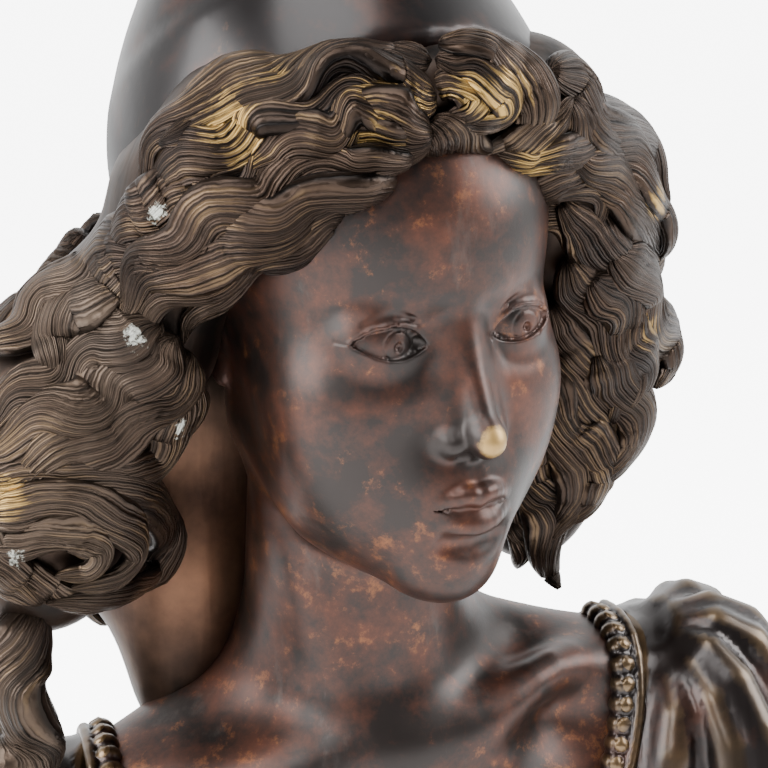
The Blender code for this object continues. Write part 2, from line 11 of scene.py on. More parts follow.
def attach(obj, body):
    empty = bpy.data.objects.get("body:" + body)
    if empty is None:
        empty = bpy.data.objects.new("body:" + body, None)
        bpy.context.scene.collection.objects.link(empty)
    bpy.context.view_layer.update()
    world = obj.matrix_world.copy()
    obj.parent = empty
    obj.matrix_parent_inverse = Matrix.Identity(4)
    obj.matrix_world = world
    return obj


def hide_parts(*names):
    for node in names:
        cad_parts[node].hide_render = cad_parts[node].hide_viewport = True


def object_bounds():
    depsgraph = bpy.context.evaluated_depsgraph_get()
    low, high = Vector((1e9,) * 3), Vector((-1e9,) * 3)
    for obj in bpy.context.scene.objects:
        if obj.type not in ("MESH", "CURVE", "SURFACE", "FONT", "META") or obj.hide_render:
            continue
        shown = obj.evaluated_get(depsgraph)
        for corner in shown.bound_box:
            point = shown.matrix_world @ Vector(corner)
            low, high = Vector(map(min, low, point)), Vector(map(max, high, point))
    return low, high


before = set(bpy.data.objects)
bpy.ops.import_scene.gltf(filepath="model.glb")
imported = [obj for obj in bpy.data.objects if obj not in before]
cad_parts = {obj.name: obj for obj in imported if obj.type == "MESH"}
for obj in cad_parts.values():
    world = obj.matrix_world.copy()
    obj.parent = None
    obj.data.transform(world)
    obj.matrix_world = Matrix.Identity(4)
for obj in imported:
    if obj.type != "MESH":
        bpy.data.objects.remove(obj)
cad_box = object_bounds()
bpy.ops.object.select_all(action="DESELECT")
BUST = "marianne_bust"

# The camera looks at the head from her right front and a little from above.
# It stands as far off as a long lens needs to fill the picture with the head and shoulders.
HEAD_HEIGHT = 0.150
VIEW_TURN, VIEW_RISE = math.radians(-14), math.radians(12)
PICTURE_WIDTH = 0.235
LENS, SENSOR = 90.0, 36.0
RIGHT = Vector((math.cos(VIEW_TURN), math.sin(VIEW_TURN), 0))
AHEAD = Vector((-math.sin(VIEW_TURN) * math.cos(VIEW_RISE), math.cos(VIEW_TURN) * math.cos(VIEW_RISE),
                -math.sin(VIEW_RISE)))
UP = RIGHT.cross(AHEAD)
THROAT = Vector((0, -0.0225, 0.126))
AIM_RIGHT, AIM_UP, AIM_AHEAD = -0.0018, 0.105, 0.03
VIEW_MIDDLE = THROAT + AIM_RIGHT * RIGHT + AIM_UP * UP + AIM_AHEAD * AHEAD
EYE_POINT = VIEW_MIDDLE - AHEAD * PICTURE_WIDTH * LENS / SENSOR


def linked(name, data):
    """A new object of the scene, with the given data."""
    made = bpy.data.objects.new(name, data)
    bpy.context.scene.collection.objects.link(made)
    return made


camera = linked("camera", bpy.data.cameras.new("camera"))
camera.data.lens = LENS
camera.data.sensor_width = SENSOR
camera.location = EYE_POINT
camera.rotation_euler = AHEAD.to_track_quat("-Z", "Y").to_euler()
bpy.context.scene.camera = camera

# The floor is a plain pale sheet that the bust stands on, and the light is soft and white all round.
# Four panels, at both sides, above and in front, draw the long pale reflections on the bronze.
FLOOR_SIZE = 80.0
SKY_STRENGTH = 2.6
LIT_HEIGHT = 0.26
bpy.ops.mesh.primitive_plane_add(size=FLOOR_SIZE, location=(0, 0, 0))
floor = bpy.context.active_object
floor.name = "floor"
floor.select_set(False)
world = bpy.data.worlds.new("studio")
bpy.context.scene.world = world
world.use_nodes = True
sky = world.node_tree.nodes["Background"]
sky.inputs["Strength"].default_value = SKY_STRENGTH


def panel(name, turn, rise, away, size, power):
    """A square soft light that faces the head from a turn and a rise around it, in degrees."""
    turn, rise = math.radians(turn), math.radians(rise)
    middle = Vector((0, 0, LIT_HEIGHT))
    back = Vector((math.sin(turn) * math.cos(rise), -math.cos(turn) * math.cos(rise), math.sin(rise)))
    light = linked(name, bpy.data.lights.new(name, "AREA"))
    light.data.energy = power
    light.data.size = size
    light.location = middle + away * back
    light.rotation_euler = back.to_track_quat("Z", "Y").to_euler()


panel("window_left", -80, 22, 1.0, 0.8, 22)
panel("window_right", 75, 25, 1.1, 0.7, 16)
panel("overhead", -30, 70, 1.1, 0.7, 12)
panel("front", -35, 30, 1.6, 0.5, 8)


class Shade:
    """A socket of a material, so that its values are worked with as an expression."""

    def __init__(self, tree, socket):
        self.tree = tree
        self.socket = socket

    def node(self, kind, settings=None, output=0, **values):
        """Adds a node: its settings first, then the values or links of its sockets, by name or index."""
        made = self.tree.nodes.new(kind)
        for name, value in (settings or {}).items():
            setattr(made, name, value)
        self.feed(made, values)
        return Shade(self.tree, made.outputs[output])

    def feed(self, node, values):
        """Gives each named input of a node its value or its link."""
        for name, value in values.items():
            target = node.inputs[int(name[1:]) if name[1:].isdigit() else name.replace("_", " ")]
            if isinstance(value, Shade):
                self.tree.links.new(value.socket, target)
            else:
                target.default_value = value

    def maths(self, operation, other=0.0, swap=False):
        first, second = (other, self) if swap else (self, other)
        return self.node("ShaderNodeMath", {"operation": operation}, _0=first, _1=second)

    def __add__(self, other):
        return self.maths("ADD", other)

    def __sub__(self, other):
        return self.maths("SUBTRACT", other)

    def __mul__(self, other):
        return self.maths("MULTIPLY", other)

    def __rsub__(self, other):
        return self.maths("SUBTRACT", other, swap=True)

    def __pow__(self, other):
        return self.maths("POWER", other)

    __radd__ = __add__
    __rmul__ = __mul__

    def over(self, low, high):
        """Rises from 0 to 1 as the value goes from low to high."""
        return self.node("ShaderNodeMapRange", {"clamp": True}, Value=self, _1=low, _2=high)

    def mixed(self, first, second):
        """A colour between two, with this value as the share of the second."""
        return self.node("ShaderNodeMix", {"data_type": "RGBA"}, 2, _0=self, _6=first, _7=second)


class Finish:
    """A bronze surface: its material, and the places and patterns that it reads."""

    def __init__(self, name):
        self.material = bpy.data.materials.new(name)
        self.material.use_nodes = True
        tree = self.material.node_tree
        self.shader = tree.nodes["Principled BSDF"]
        self.place = Shade(tree, None).node("ShaderNodeTexCoord", output=3)

    def attribute(self, name):
        return self.place.node("ShaderNodeAttribute", {"attribute_name": name}, 2)

    def noise(self, scale, detail=4.0, rough=0.55, stretch=(1, 1, 1)):
        place = self.place.node("ShaderNodeMapping", Vector=self.place, Scale=stretch)
        return self.place.node("ShaderNodeTexNoise", Vector=place, Scale=scale, Detail=detail,
                               Roughness=rough)

    def near(self, spot, reach):
        """1 at a spot of the bust, given in metres, and 0 past its reach."""
        gap = self.place.node("ShaderNodeVectorMath", {"operation": "DISTANCE"}, 1, _0=self.place, _1=spot)
        return 1 - gap.over(reach * 0.25, reach)

    def wear(self, **values):
        self.place.feed(self.shader, values)

    def bump(self, height, distance, strength):
        bump = self.place.node("ShaderNodeBump", Height=height, Distance=distance, Strength=strength)
        self.wear(Normal=bump)


# The studio is white behind the bust, where the camera looks, and dim grey behind the camera.
STUDIO_DIM = (0.055, 0.055, 0.058, 1)
STUDIO_WHITE = (0.75, 0.75, 0.75, 1)
BACKDROP = (3.0, 3.0, 3.0, 1)
toward = Shade(world.node_tree, None).node("ShaderNodeTexCoord", output=0)
ahead = toward.node("ShaderNodeVectorMath", {"operation": "DOT_PRODUCT"}, 1, _0=toward, _1=tuple(AHEAD))
studio = ahead.over(-0.30, 0.70).mixed(STUDIO_DIM, STUDIO_WHITE)
studio = toward.node("ShaderNodeLightPath").mixed(studio, BACKDROP)
world.node_tree.links.new(studio.socket, sky.inputs["Color"])
pale = Finish("pale_floor")
glow = pale.place.node("ShaderNodeLightPath").mixed((0.08, 0.08, 0.08, 1), (1, 1, 1, 1))
pale.wear(Base_Color=(0.9, 0.9, 0.9, 1), Roughness=0.9, Emission_Strength=7.0, Emission_Color=glow)
floor.data.materials.append(pale.material)


# The head, neck and breast are the bare bronze of the casting.
# The founder cast them from a clay model laid up from lumps, which the same lumps lay up again here.
# Clay is laid in head heights, and every mesh is brought to metres when it is done.
NECK_PIVOT = Vector((-0.045, 0.03, 1.52))
SKULL_PIVOT = Vector((0.0, 0.06, 0.28))
HEAD_TURN, HEAD_NOD, HEAD_LEAN = 15.0, 7.0, -3.0
RISE = 0.014 / HEAD_HEIGHT
SIDES = (-1, 1)
HEAD_POSE = (
    Matrix.Translation(NECK_PIVOT)
    @ Matrix.Rotation(math.radians(HEAD_TURN), 4, "Z")
    @ Matrix.Rotation(math.radians(HEAD_LEAN), 4, "Y")
    @ Matrix.Rotation(math.radians(HEAD_NOD), 4, "X")
    @ Matrix.Translation(-SKULL_PIVOT)
)


def posed(point):
    """A point of the head's own frame, in the bust's frame."""
    return tuple(HEAD_POSE @ Vector(point))


def moved(points, pose):
    turn = np.array(pose)
    return points @ turn[:3, :3].T + turn[:3, 3]


def in_head(points):
    """Points of the bust's frame, in the head's own frame."""
    return moved(points, HEAD_POSE.inverted_safe())


def mirrored(points, side):
    """The points for her left side as given, and for her right side with X turned round."""
    return [(side * x, y, z) for x, y, z in points]


def unit(vectors):
    """The vectors brought to length 1."""
    return vectors / np.maximum(np.linalg.norm(vectors, axis=1), 1e-9)[:, None]


def blended(first, second, reach):
    """The lower of two distances, with their meeting rounded over the given reach."""
    if reach <= 0:
        return np.minimum(first, second)
    near = np.maximum(reach - np.abs(first - second), 0) / reach
    return np.minimum(first, second) - near * near * reach / 4


class Clay:
    """A form laid up from lumps, each added to the ones before it or carved out of them."""

    def __init__(self, pose=None):
        self.pose = pose or Matrix.Identity(4)
        self.sections = [[]]

    def section(self):
        """Starts a group of lumps. Past the first group, only what lies near a group feels it."""
        self.sections.append([])

    def ball(self, centre, radii, blend=0.0, carve=False):
        radii = np.array([radii] * 3 if isinstance(radii, (int, float)) else radii, float)
        self.sections[-1].append(("ball", np.array(centre, float), radii, None, blend, carve))

    def rod(self, start, end, start_radius, end_radius, blend=0.0, carve=False):
        self.coil((start, end), (start_radius, end_radius), blend, carve)

    def coil(self, points, radii, blend=0.0, carve=False):
        """A run of rods through the points, as one lump."""
        points, radii = np.array(points, float), np.array(radii, float)
        self.sections[-1].append(("coil", points, radii, None, blend, carve))

    def window(self, centre, radius, opening, blend=0.0):
        """Carves down to a ball, where opening, a function of the place beside its centre, is above 0."""
        self.sections[-1].append(("window", np.array(centre, float), radius, opening, blend, True))

    @staticmethod
    def from_rod(points, start, end, start_radius, end_radius):
        """Distance from a rod with round ends."""
        along = end - start
        share = np.clip((points - start) @ along / max(along @ along, 1e-12), 0, 1)
        radius = start_radius + (end_radius - start_radius) * share
        return np.linalg.norm(points - start - share[:, None] * along, axis=1) - radius

    @staticmethod
    def reach(lump):
        """The lowest and highest corner of where a lump is felt."""
        kind, first, second, _, blend, _ = lump
        room = 0.03 + blend
        if kind == "coil":
            room += max(second)
            return first.min(axis=0) - room, first.max(axis=0) + room
        return first - second - room, first + second + room

    def distance(self, points):
        """Signed distance from the form, for points in the bust's frame."""
        local = moved(points, self.pose.inverted_safe())
        total = np.full(len(local), 10.0)
        for number, section in enumerate(self.sections):
            inside = np.arange(len(local))
            if number:
                low = np.min([self.reach(lump)[0] for lump in section], axis=0)
                high = np.max([self.reach(lump)[1] for lump in section], axis=0)
                inside = np.nonzero(((local > low) & (local < high)).all(axis=1))[0]
            if not len(inside):
                continue
            spot, found = local[inside], total[inside]
            for kind, first, second, opening, blend, carve in section:
                if kind == "ball":
                    scaled = np.linalg.norm((spot - first) / second, axis=1)
                    steep = np.linalg.norm((spot - first) / second**2, axis=1)
                    lump = scaled * (scaled - 1) / np.maximum(steep, 1e-9)
                elif kind == "coil":
                    rods = zip(first, first[1:], second, second[1:])
                    lump = np.min([self.from_rod(spot, *rod) for rod in rods], axis=0)
                else:
                    beside = spot - first
                    lump = np.maximum(second - np.linalg.norm(beside, axis=1), -opening(beside))
                found = -blended(-found, lump, blend) if carve else blended(found, lump, blend)
            total[inside] = found
        return total

    def solids(self, template):
        """The corners of every lump that isn't carved, as copies of a template ball, in head heights."""
        copies = []
        for kind, first, second, _, _, carve in sum(self.sections, []):
            if carve:
                continue
            if kind == "ball":
                copies.append(first + second * template)
                continue
            for start, end, start_radius, end_radius in zip(first, first[1:], second, second[1:]):
                ahead = (template @ (end - start) > 0)[:, None]
                copies.append(np.where(ahead, end + end_radius * template, start + start_radius * template))
        return moved(np.array(copies), self.pose)


def settled(points, distance, rounds, stride=0.2):
    """Points moved onto the surface where distance is 0, by no more than a stride in each round."""
    step = 2e-4
    for _ in range(rounds):
        here = distance(points)
        slope = np.stack([(distance(points + step * axis) - here) / step for axis in np.eye(3)], axis=1)
        move = np.clip(here / np.maximum((slope**2).sum(axis=1), 0.5), -stride, stride)
        points = points - slope * move[:, None]
    return points


def smooth_route(points, count):
    """A smooth curve through the points, read at equal shares of its length."""
    points = np.array(points, float)
    ends = np.vstack([2 * points[0] - points[1], points, 2 * points[-1] - points[-2]])
    fine = []
    for index in range(1, len(ends) - 2):
        a, b, c, d = ends[index - 1:index + 3]
        for t in np.linspace(0, 1, 24, endpoint=False):
            fine.append(0.5 * (2 * b + (c - a) * t + (2 * a - 5 * b + 4 * c - d) * t**2
                               + (3 * b - a - 3 * c + d) * t**3))
    fine = np.array(fine + [points[-1]])
    run = np.concatenate([[0], np.cumsum(np.linalg.norm(np.diff(fine, axis=0), axis=1))])
    wanted = np.linspace(0, run[-1], count)
    return np.stack([np.interp(wanted, run, fine[:, axis]) for axis in range(3)], axis=1)


# The head, in its own frame: the chin at 0, the crown at 1, the face towards -Y
EYE_CENTRE = (0.130, -0.284, 0.500)
EYE_RADIUS = 0.074
LID = 0.008
IRIS = 0.029
EYE_INNER, EYE_OUTER = -0.068, 0.070
UPPER_LID, LOWER_LID = 0.036, -0.023
LID_STEPS = 9
PUPIL = 0.009
GAZE_X, GAZE_Z = 0.010, -0.002
LIP_STEPS = 9
UPPER_LIP = (0.008, 0.015, 0.019, 0.017)
LOWER_LIP = (0.008, 0.018, 0.025, 0.025)


def lid_margin(across, height):
    """Height of an eyelid's edge over the eye, from the inner corner to the outer one."""
    share = np.clip((across - EYE_INNER) / (EYE_OUTER - EYE_INNER), 0, 1)
    corner = -0.006 + 0.012 * share
    return corner + height * np.sin(math.pi * share**0.92) ** 0.85


def lid_points(side, height, lift):
    """Points along an eyelid's edge, on the eyeball."""
    points = []
    for share in np.linspace(0.0, 1.0, LID_STEPS):
        across = EYE_INNER + (EYE_OUTER - EYE_INNER) * share
        up = float(lid_margin(np.array(across), height))
        depth = -math.sqrt((EYE_RADIUS + lift) ** 2 - across * across - up * up)
        points.append((EYE_CENTRE[0] + across, EYE_CENTRE[1] + depth, EYE_CENTRE[2] + up))
    return mirrored(points, side)


def lid_opening(side):
    """Above 0 inside the almond between the eyelids."""

    def opening(beside):
        across = side * beside[:, 0]
        open_above = lid_margin(across, UPPER_LID) - beside[:, 2]
        open_below = beside[:, 2] - lid_margin(across, LOWER_LID)
        behind = -0.02 - beside[:, 1]
        return np.minimum(np.minimum(open_above, open_below), behind)

    return opening


def skull(clay):
    clay.ball((0, 0.08, 0.64), (0.320, 0.42, 0.36))
    clay.ball((0, -0.10, 0.67), (0.280, 0.285, 0.26), 0.08)
    clay.ball((0, -0.08, 0.42), (0.275, 0.305, 0.40), 0.08)
    clay.ball((0, -0.20, 0.16), (0.130, 0.180, 0.135), 0.12)
    for side in SIDES:
        clay.coil(mirrored([(0.190, 0.03, 0.27), (0.150, -0.15, 0.135), (0.05, -0.300, 0.070)], side),
                  (0.050, 0.045, 0.045), 0.10)
        clay.ball((side * 0.150, -0.228, 0.385), (0.100, 0.105, 0.090), 0.12)
        clay.ball((side * 0.130, -0.212, 0.265), (0.112, 0.125, 0.140), 0.12)
    clay.ball((0, -0.335, 0.075), (0.070, 0.072, 0.070), 0.08)
    clay.ball((0, -0.325, 0.215), (0.115, 0.098, 0.100), 0.09)


def eyes(clay):
    x, y, z = EYE_CENTRE
    for side in SIDES:
        clay.section()
        clay.ball((side * 0.125, -0.430, 0.503), (0.088, 0.066, 0.048), 0.07, carve=True)
        clay.ball((side * 0.055, -0.425, 0.508), (0.028, 0.045, 0.045), 0.05, carve=True)
        clay.ball((side * x, y, z), EYE_RADIUS + LID, 0.030)
        crease = [(a, b - 0.002, c + 0.020) for a, b, c in lid_points(1, UPPER_LID, LID)]
        crease_radii = 0.004 * np.sin(math.pi * np.linspace(0.12, 0.88, LID_STEPS - 2))
        clay.coil(mirrored(crease[1:-1], side), crease_radii, 0.014, carve=True)
        edge_radii = 0.002 + 0.003 * np.sin(math.pi * np.linspace(0, 1, LID_STEPS))
        clay.coil(lid_points(side, UPPER_LID, LID), edge_radii, 0.008)
        clay.window((side * x, y, z), EYE_RADIUS, lid_opening(side), 0.005)
        gaze = (side * x + GAZE_X, z + GAZE_Z)
        ring = []
        for turn in np.linspace(0, math.tau, 15):
            a, b = gaze[0] + IRIS * math.cos(turn), gaze[1] + IRIS * math.sin(turn)
            ring.append((a, y - math.sqrt(EYE_RADIUS**2 - (a - side * x) ** 2 - (b - z) ** 2), b))
        clay.coil(ring, [0.0018] * len(ring), 0.003, carve=True)
        clay.ball((gaze[0], y - EYE_RADIUS, gaze[1]), PUPIL, 0.004, carve=True)


def nose(clay):
    clay.section()
    clay.rod((0, -0.352, 0.535), (0, -0.446, 0.365), 0.020, 0.024, 0.035)
    for side in SIDES:
        clay.rod((side * 0.022, -0.345, 0.500), (side * 0.030, -0.395, 0.350), 0.022, 0.030, 0.045)
        clay.ball((side * 0.045, -0.404, 0.328), (0.021, 0.034, 0.022), 0.020)
    clay.ball((0, -0.462, 0.342), (0.029, 0.032, 0.028), 0.030)
    clay.rod((0, -0.455, 0.320), (0, -0.404, 0.303), 0.011, 0.015, 0.016)
    for side in SIDES:
        clay.ball((side * 0.024, -0.426, 0.303), (0.010, 0.020, 0.010), 0.008, carve=True)


def mouth(clay):
    clay.section()
    clay.rod((0, -0.440, 0.290), (0, -0.452, 0.250), 0.005, 0.008, 0.025, carve=True)
    upper = [(0.086, -0.374, 0.208), (0.055, -0.409, 0.224), (0.020, -0.431, 0.235), (0, -0.430, 0.229)]
    lower = [(0.082, -0.374, 0.204), (0.051, -0.404, 0.187), (0.023, -0.420, 0.178), (0, -0.422, 0.177)]
    slit = [(0.080, -0.390, 0.208), (0.050, -0.427, 0.209), (0.022, -0.449, 0.205), (0, -0.450, 0.207)]
    places = np.linspace(0, 3, LIP_STEPS)
    for side in SIDES:
        for line, girth, blend in ((upper, UPPER_LIP, 0.010), (lower, LOWER_LIP, 0.012)):
            route = smooth_route(mirrored(line, side), LIP_STEPS)
            clay.coil(route, np.interp(places, range(4), girth), blend)
    for side in SIDES:
        clay.coil(smooth_route(mirrored(slit, side), LIP_STEPS), [0.004] * LIP_STEPS, 0.006, carve=True)
    under_lip = [(-0.05, -0.416, 0.136), (0, -0.424, 0.131), (0.05, -0.416, 0.136)]
    clay.coil(under_lip, (0.004, 0.008, 0.004), 0.04, carve=True)


def ears(clay):
    for side in SIDES:
        clay.section()
        rim = [(0.275, 0.00, 0.42), (0.290, -0.005, 0.50), (0.305, 0.04, 0.555), (0.310, 0.10, 0.545),
               (0.302, 0.125, 0.48), (0.285, 0.09, 0.41), (0.272, 0.045, 0.365)]
        clay.ball((side * 0.268, 0.05, 0.46), (0.03, 0.06, 0.09), 0.02)
        clay.coil(mirrored(rim, side), (0.012, 0.014, 0.016, 0.016, 0.015, 0.014, 0.014), 0.012)
        clay.ball((side * 0.272, 0.035, 0.358), (0.018, 0.026, 0.028), 0.015)
        clay.ball((side * 0.295, 0.045, 0.455), (0.018, 0.03, 0.05), 0.015, carve=True)


def head_clay():
    clay = Clay(HEAD_POSE)
    for part in (skull, eyes, nose, mouth, ears):
        part(clay)
    return clay


def torso_clay():
    """Neck, shoulders and breast, in the bust's own frame."""
    clay = Clay()
    clay.ball((0, 0.10, 0.36), (0.54, 0.32, 0.50))
    clay.ball((0, 0.04, 0.66), (0.46, 0.21, 0.25), 0.16)
    for side in SIDES:
        lift = side * RISE
        clay.ball((side * 0.56, 0.12, 0.56 + lift), (0.20, 0.20, 0.24), 0.14)
        clay.rod((0, 0.17, 0.96), (side * 0.50, 0.14, 0.74 + lift), 0.14, 0.12, 0.14)
        clay.ball((side * 0.24, -0.12, 0.17), (0.23, 0.22, 0.25), 0.14)
    clay.rod((0, 0.11, 0.70), posed((0, 0.045, 0.20)), 0.25, 0.195, 0.12)
    clay.section()
    for side in SIDES:
        lift = side * RISE
        clay.rod(posed((side * 0.19, 0.06, 0.22)), (side * 0.042, -0.115, 0.850), 0.030, 0.026, 0.07)
        collarbone = [(side * 0.045, -0.120, 0.826), (side * 0.20, -0.118, 0.830 + lift * 0.4),
                      (side * 0.36, -0.055, 0.835 + lift), (side * 0.50, 0.04, 0.80 + lift)]
        clay.coil(smooth_route(collarbone, 10), np.linspace(0.034, 0.026, 10), 0.12)
    return clay


HEAD, TORSO = head_clay(), torso_clay()
BALL = bmesh.new()
bmesh.ops.create_icosphere(BALL, subdivisions=3, radius=1)
BALL_POINTS = np.array([vert.co for vert in BALL.verts])
BALL_FACES = np.array([[vert.index for vert in face.verts] for face in BALL.faces])
BALL.free()


def points_of(piece):
    points = np.empty(len(piece.data.vertices) * 3)
    piece.data.vertices.foreach_get("co", points)
    return points.reshape(-1, 3)


def put(piece, points):
    piece.data.vertices.foreach_set("co", np.ascontiguousarray(points).ravel())
    piece.data.update()


def laid_up(name, forms, distance, voxels):
    """A piece settled on the surface where distance is 0, remeshed at each voxel in head heights."""
    copies = np.concatenate([form.solids(BALL_POINTS) for form in forms])
    shifts = np.arange(len(copies))[:, None, None] * len(BALL_POINTS)
    piece = linked(name, bpy.data.meshes.new(name))
    faces = (BALL_FACES + shifts).reshape(-1, 3).tolist()
    piece.data.from_pydata(copies.reshape(-1, 3).tolist(), [], faces)
    bpy.context.view_layer.objects.active = piece
    for voxel in voxels:
        piece.modifiers.new("remesh", "REMESH").voxel_size = voxel
        bpy.ops.object.modifier_apply(modifier="remesh")
        put(piece, settled(points_of(piece), distance, 3))
    put(piece, settled(points_of(piece), distance, 2, voxels[-1] / 2))
    return piece


def refined(piece, wanted, distance):
    """Halves the faces whose middles are wanted, and settles the new points."""
    work = bmesh.new()
    work.from_mesh(piece.data)
    middles = np.array([face.calc_center_median() for face in work.faces])
    chosen = wanted(middles)
    edges = {edge for face, use in zip(work.faces, chosen) if use for edge in face.edges}
    bmesh.ops.subdivide_edges(work, edges=list(edges), cuts=1, use_grid_fill=True, smooth=0.0)
    bmesh.ops.triangulate(work, faces=[face for face in work.faces if len(face.verts) > 4])
    work.to_mesh(piece.data)
    work.free()
    put(piece, settled(points_of(piece), distance, 3, 0.004))


def dress(piece, material):
    """Brings a piece from head heights to metres, and gives it its finish and its place on the bust."""
    put(piece, points_of(piece) * HEAD_HEIGHT)
    piece.data.materials.clear()
    piece.data.materials.append(material)
    piece.data.shade_smooth()
    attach(piece, "root")
    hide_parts(BUST)


SKIN_FLOOR = 0.25


def skin_distance(points):
    bare = blended(HEAD.distance(points), TORSO.distance(points), 0.05)
    return np.maximum(bare, SKIN_FLOOR - points[:, 2])


# Where the skin's mesh is made finer: boxes by two corners, and eggs by their middle and radii
FAR = 9.0
FACE_BOX = ((-FAR, -FAR, -0.1), (FAR, 0.05, 0.95))
THROAT_BOX = ((-FAR, -FAR, 0.62), (FAR, 0.12, FAR))
FINE_BOX = ((-0.24, -FAR, 0.08), (0.24, -0.12, 0.66))
EYE_EGG = ((0.130, 0.350, 0.500), (0.095, 0.12, 0.060))
MOUTH_EGG = ((0, -0.420, 0.207), (0.105, 0.10, 0.040))
EYES_BEHIND = -0.2


def in_box(points, box):
    return ((points > box[0]) & (points < box[1])).all(axis=1)


def in_egg(points, egg):
    return np.linalg.norm((points - egg[0]) / egg[1], axis=1) < 1


def seen_skin(middles):
    return in_box(in_head(middles), FACE_BOX) | in_box(middles, THROAT_BOX)


def fine_face(middles):
    return in_box(in_head(middles), FINE_BOX)


def eyes_and_mouth(middles):
    local = in_head(middles)
    return (local[:, 1] < EYES_BEHIND) & (in_egg(np.abs(local), EYE_EGG) | in_egg(local, MOUTH_EGG))


SKIN_VOXELS = (0.026, 0.018)
SKIN_BROWN, SKIN_RED = (0.020, 0.014, 0.012, 1), (0.105, 0.034, 0.018, 1)
SKIN_ORANGE, SKIN_SCRATCH = (0.34, 0.13, 0.042, 1), (0.10, 0.085, 0.078, 1)
NOSE_BRASS = (0.40, 0.25, 0.085, 1)
NOSE_TIP, NOSE_RUB = (0, -0.49, 0.345), 0.0072
skin = laid_up("head_and_neck", (HEAD, TORSO), skin_distance, SKIN_VOXELS)
for wanted in (seen_skin, fine_face, eyes_and_mouth):
    refined(skin, wanted, skin_distance)
bare = Finish("bare_bronze")
mottle = bare.noise(48, 9, 0.66)
patches = bare.noise(11, 4, 0.55)
grain = bare.noise(150, 8, 0.75)
red = (mottle * 0.6 + patches * 0.35 + grain * 0.35).over(0.58, 0.78)
brown = red.mixed(SKIN_BROWN, SKIN_RED)
orange = (grain * 0.75 + patches * 0.40).over(0.62, 0.76)
brown = (orange * 0.65).mixed(brown, SKIN_ORANGE)
scratch = bare.noise(70, 8, 0.7, (1, 1, 0.3)).over(0.58, 0.70)
brown = (scratch * 0.35).mixed(brown, SKIN_SCRATCH)
rub = bare.near([c * HEAD_HEIGHT for c in posed(NOSE_TIP)], NOSE_RUB)
brass = (rub + grain * 0.9 - 0.45).over(0.35, 0.6)
colour = brass.mixed(brown, NOSE_BRASS)
bare.wear(Base_Color=colour, Metallic=0.7, Roughness=(mottle * 0.3 + 0.28))
bare.wear(Coat_Weight=0.35, Coat_Roughness=0.34)
bare.bump(mottle * 0.5 + grain * 0.4, 0.0007, 0.4)
dress(skin, bare.material)


# The cap is a soft wool cap in life, cast here as a smooth bag with a rounded edge.
# It is the plainest part of the bust, polished and nearly black.
CAP_TOP = (0.0, 0.10, 0.73)
CAP_RADII = (0.425, 0.460, 0.395)
CAP_PEAK = ((0.0, 0.18, 0.92), (-0.01, 0.28, 1.06), (-0.01, 0.28, 1.18), (0.0, 0.20, 1.28),
            (0.01, 0.08, 1.31), (0.02, -0.04, 1.27), (0.03, -0.12, 1.20))
CAP_GIRTH = (0.315, 0.27, 0.225, 0.18, 0.145, 0.11, 0.075)
CAP_STEPS = 22
BRIM_FRONT = np.array((0.0, -0.235, 0.985))
BRIM_SLOPE = math.radians(52)
BRIM_SIDES = 0.16
BRIM_EDGE = 0.030
CAP_VOXELS = (0.030, 0.017)
CAP_BLACK, CAP_RED = (0.009, 0.007, 0.007, 1), (0.036, 0.014, 0.009, 1)
CAP_STREAK = (0.16, 0.075, 0.030, 1)


def behind_brim(points):
    """Distance in front of the cap's brim, in the head's frame: below 0 where the cap covers the head."""
    facing = np.array((0.0, -math.sin(BRIM_SLOPE), -math.cos(BRIM_SLOPE)))
    sideways = BRIM_SIDES * np.abs(points[:, 0]) ** 2
    return (points - BRIM_FRONT) @ facing + sideways


def cap_clay():
    clay = Clay(HEAD_POSE)
    clay.ball(CAP_TOP, CAP_RADII)
    shares = np.linspace(0, 1, len(CAP_GIRTH))
    girth = np.interp(np.linspace(0, 1, CAP_STEPS), shares, CAP_GIRTH)
    clay.coil(smooth_route(CAP_PEAK, CAP_STEPS), girth, 0.14)
    return clay


CAP = cap_clay()


def cap_distance(points):
    """Distance from the cap: the bag, cut at the brim with a rounded edge."""
    return -blended(-CAP.distance(points), -behind_brim(in_head(points)), BRIM_EDGE)


cap = laid_up("cap", (CAP,), cap_distance, CAP_VOXELS)
black = Finish("polished_bronze")
mottle = black.noise(44, 8, 0.66)
red = (mottle + black.noise(12, 3) * 0.5).over(0.74, 0.92)
colour = red.mixed(CAP_BLACK, CAP_RED)
streaks = black.noise(60, 8, 0.7, (1, 1, 0.4)).over(0.60, 0.72)
colour = (streaks * 0.5).mixed(colour, CAP_STREAK)
black.wear(Base_Color=colour, Metallic=0.7, Roughness=(mottle * 0.25 + 0.20))
black.wear(Coat_Weight=0.3, Coat_Roughness=0.2)
black.bump(mottle * 0.5 + black.noise(220, 4) * 0.3, 0.0004, 0.2)
dress(cap, black.material)


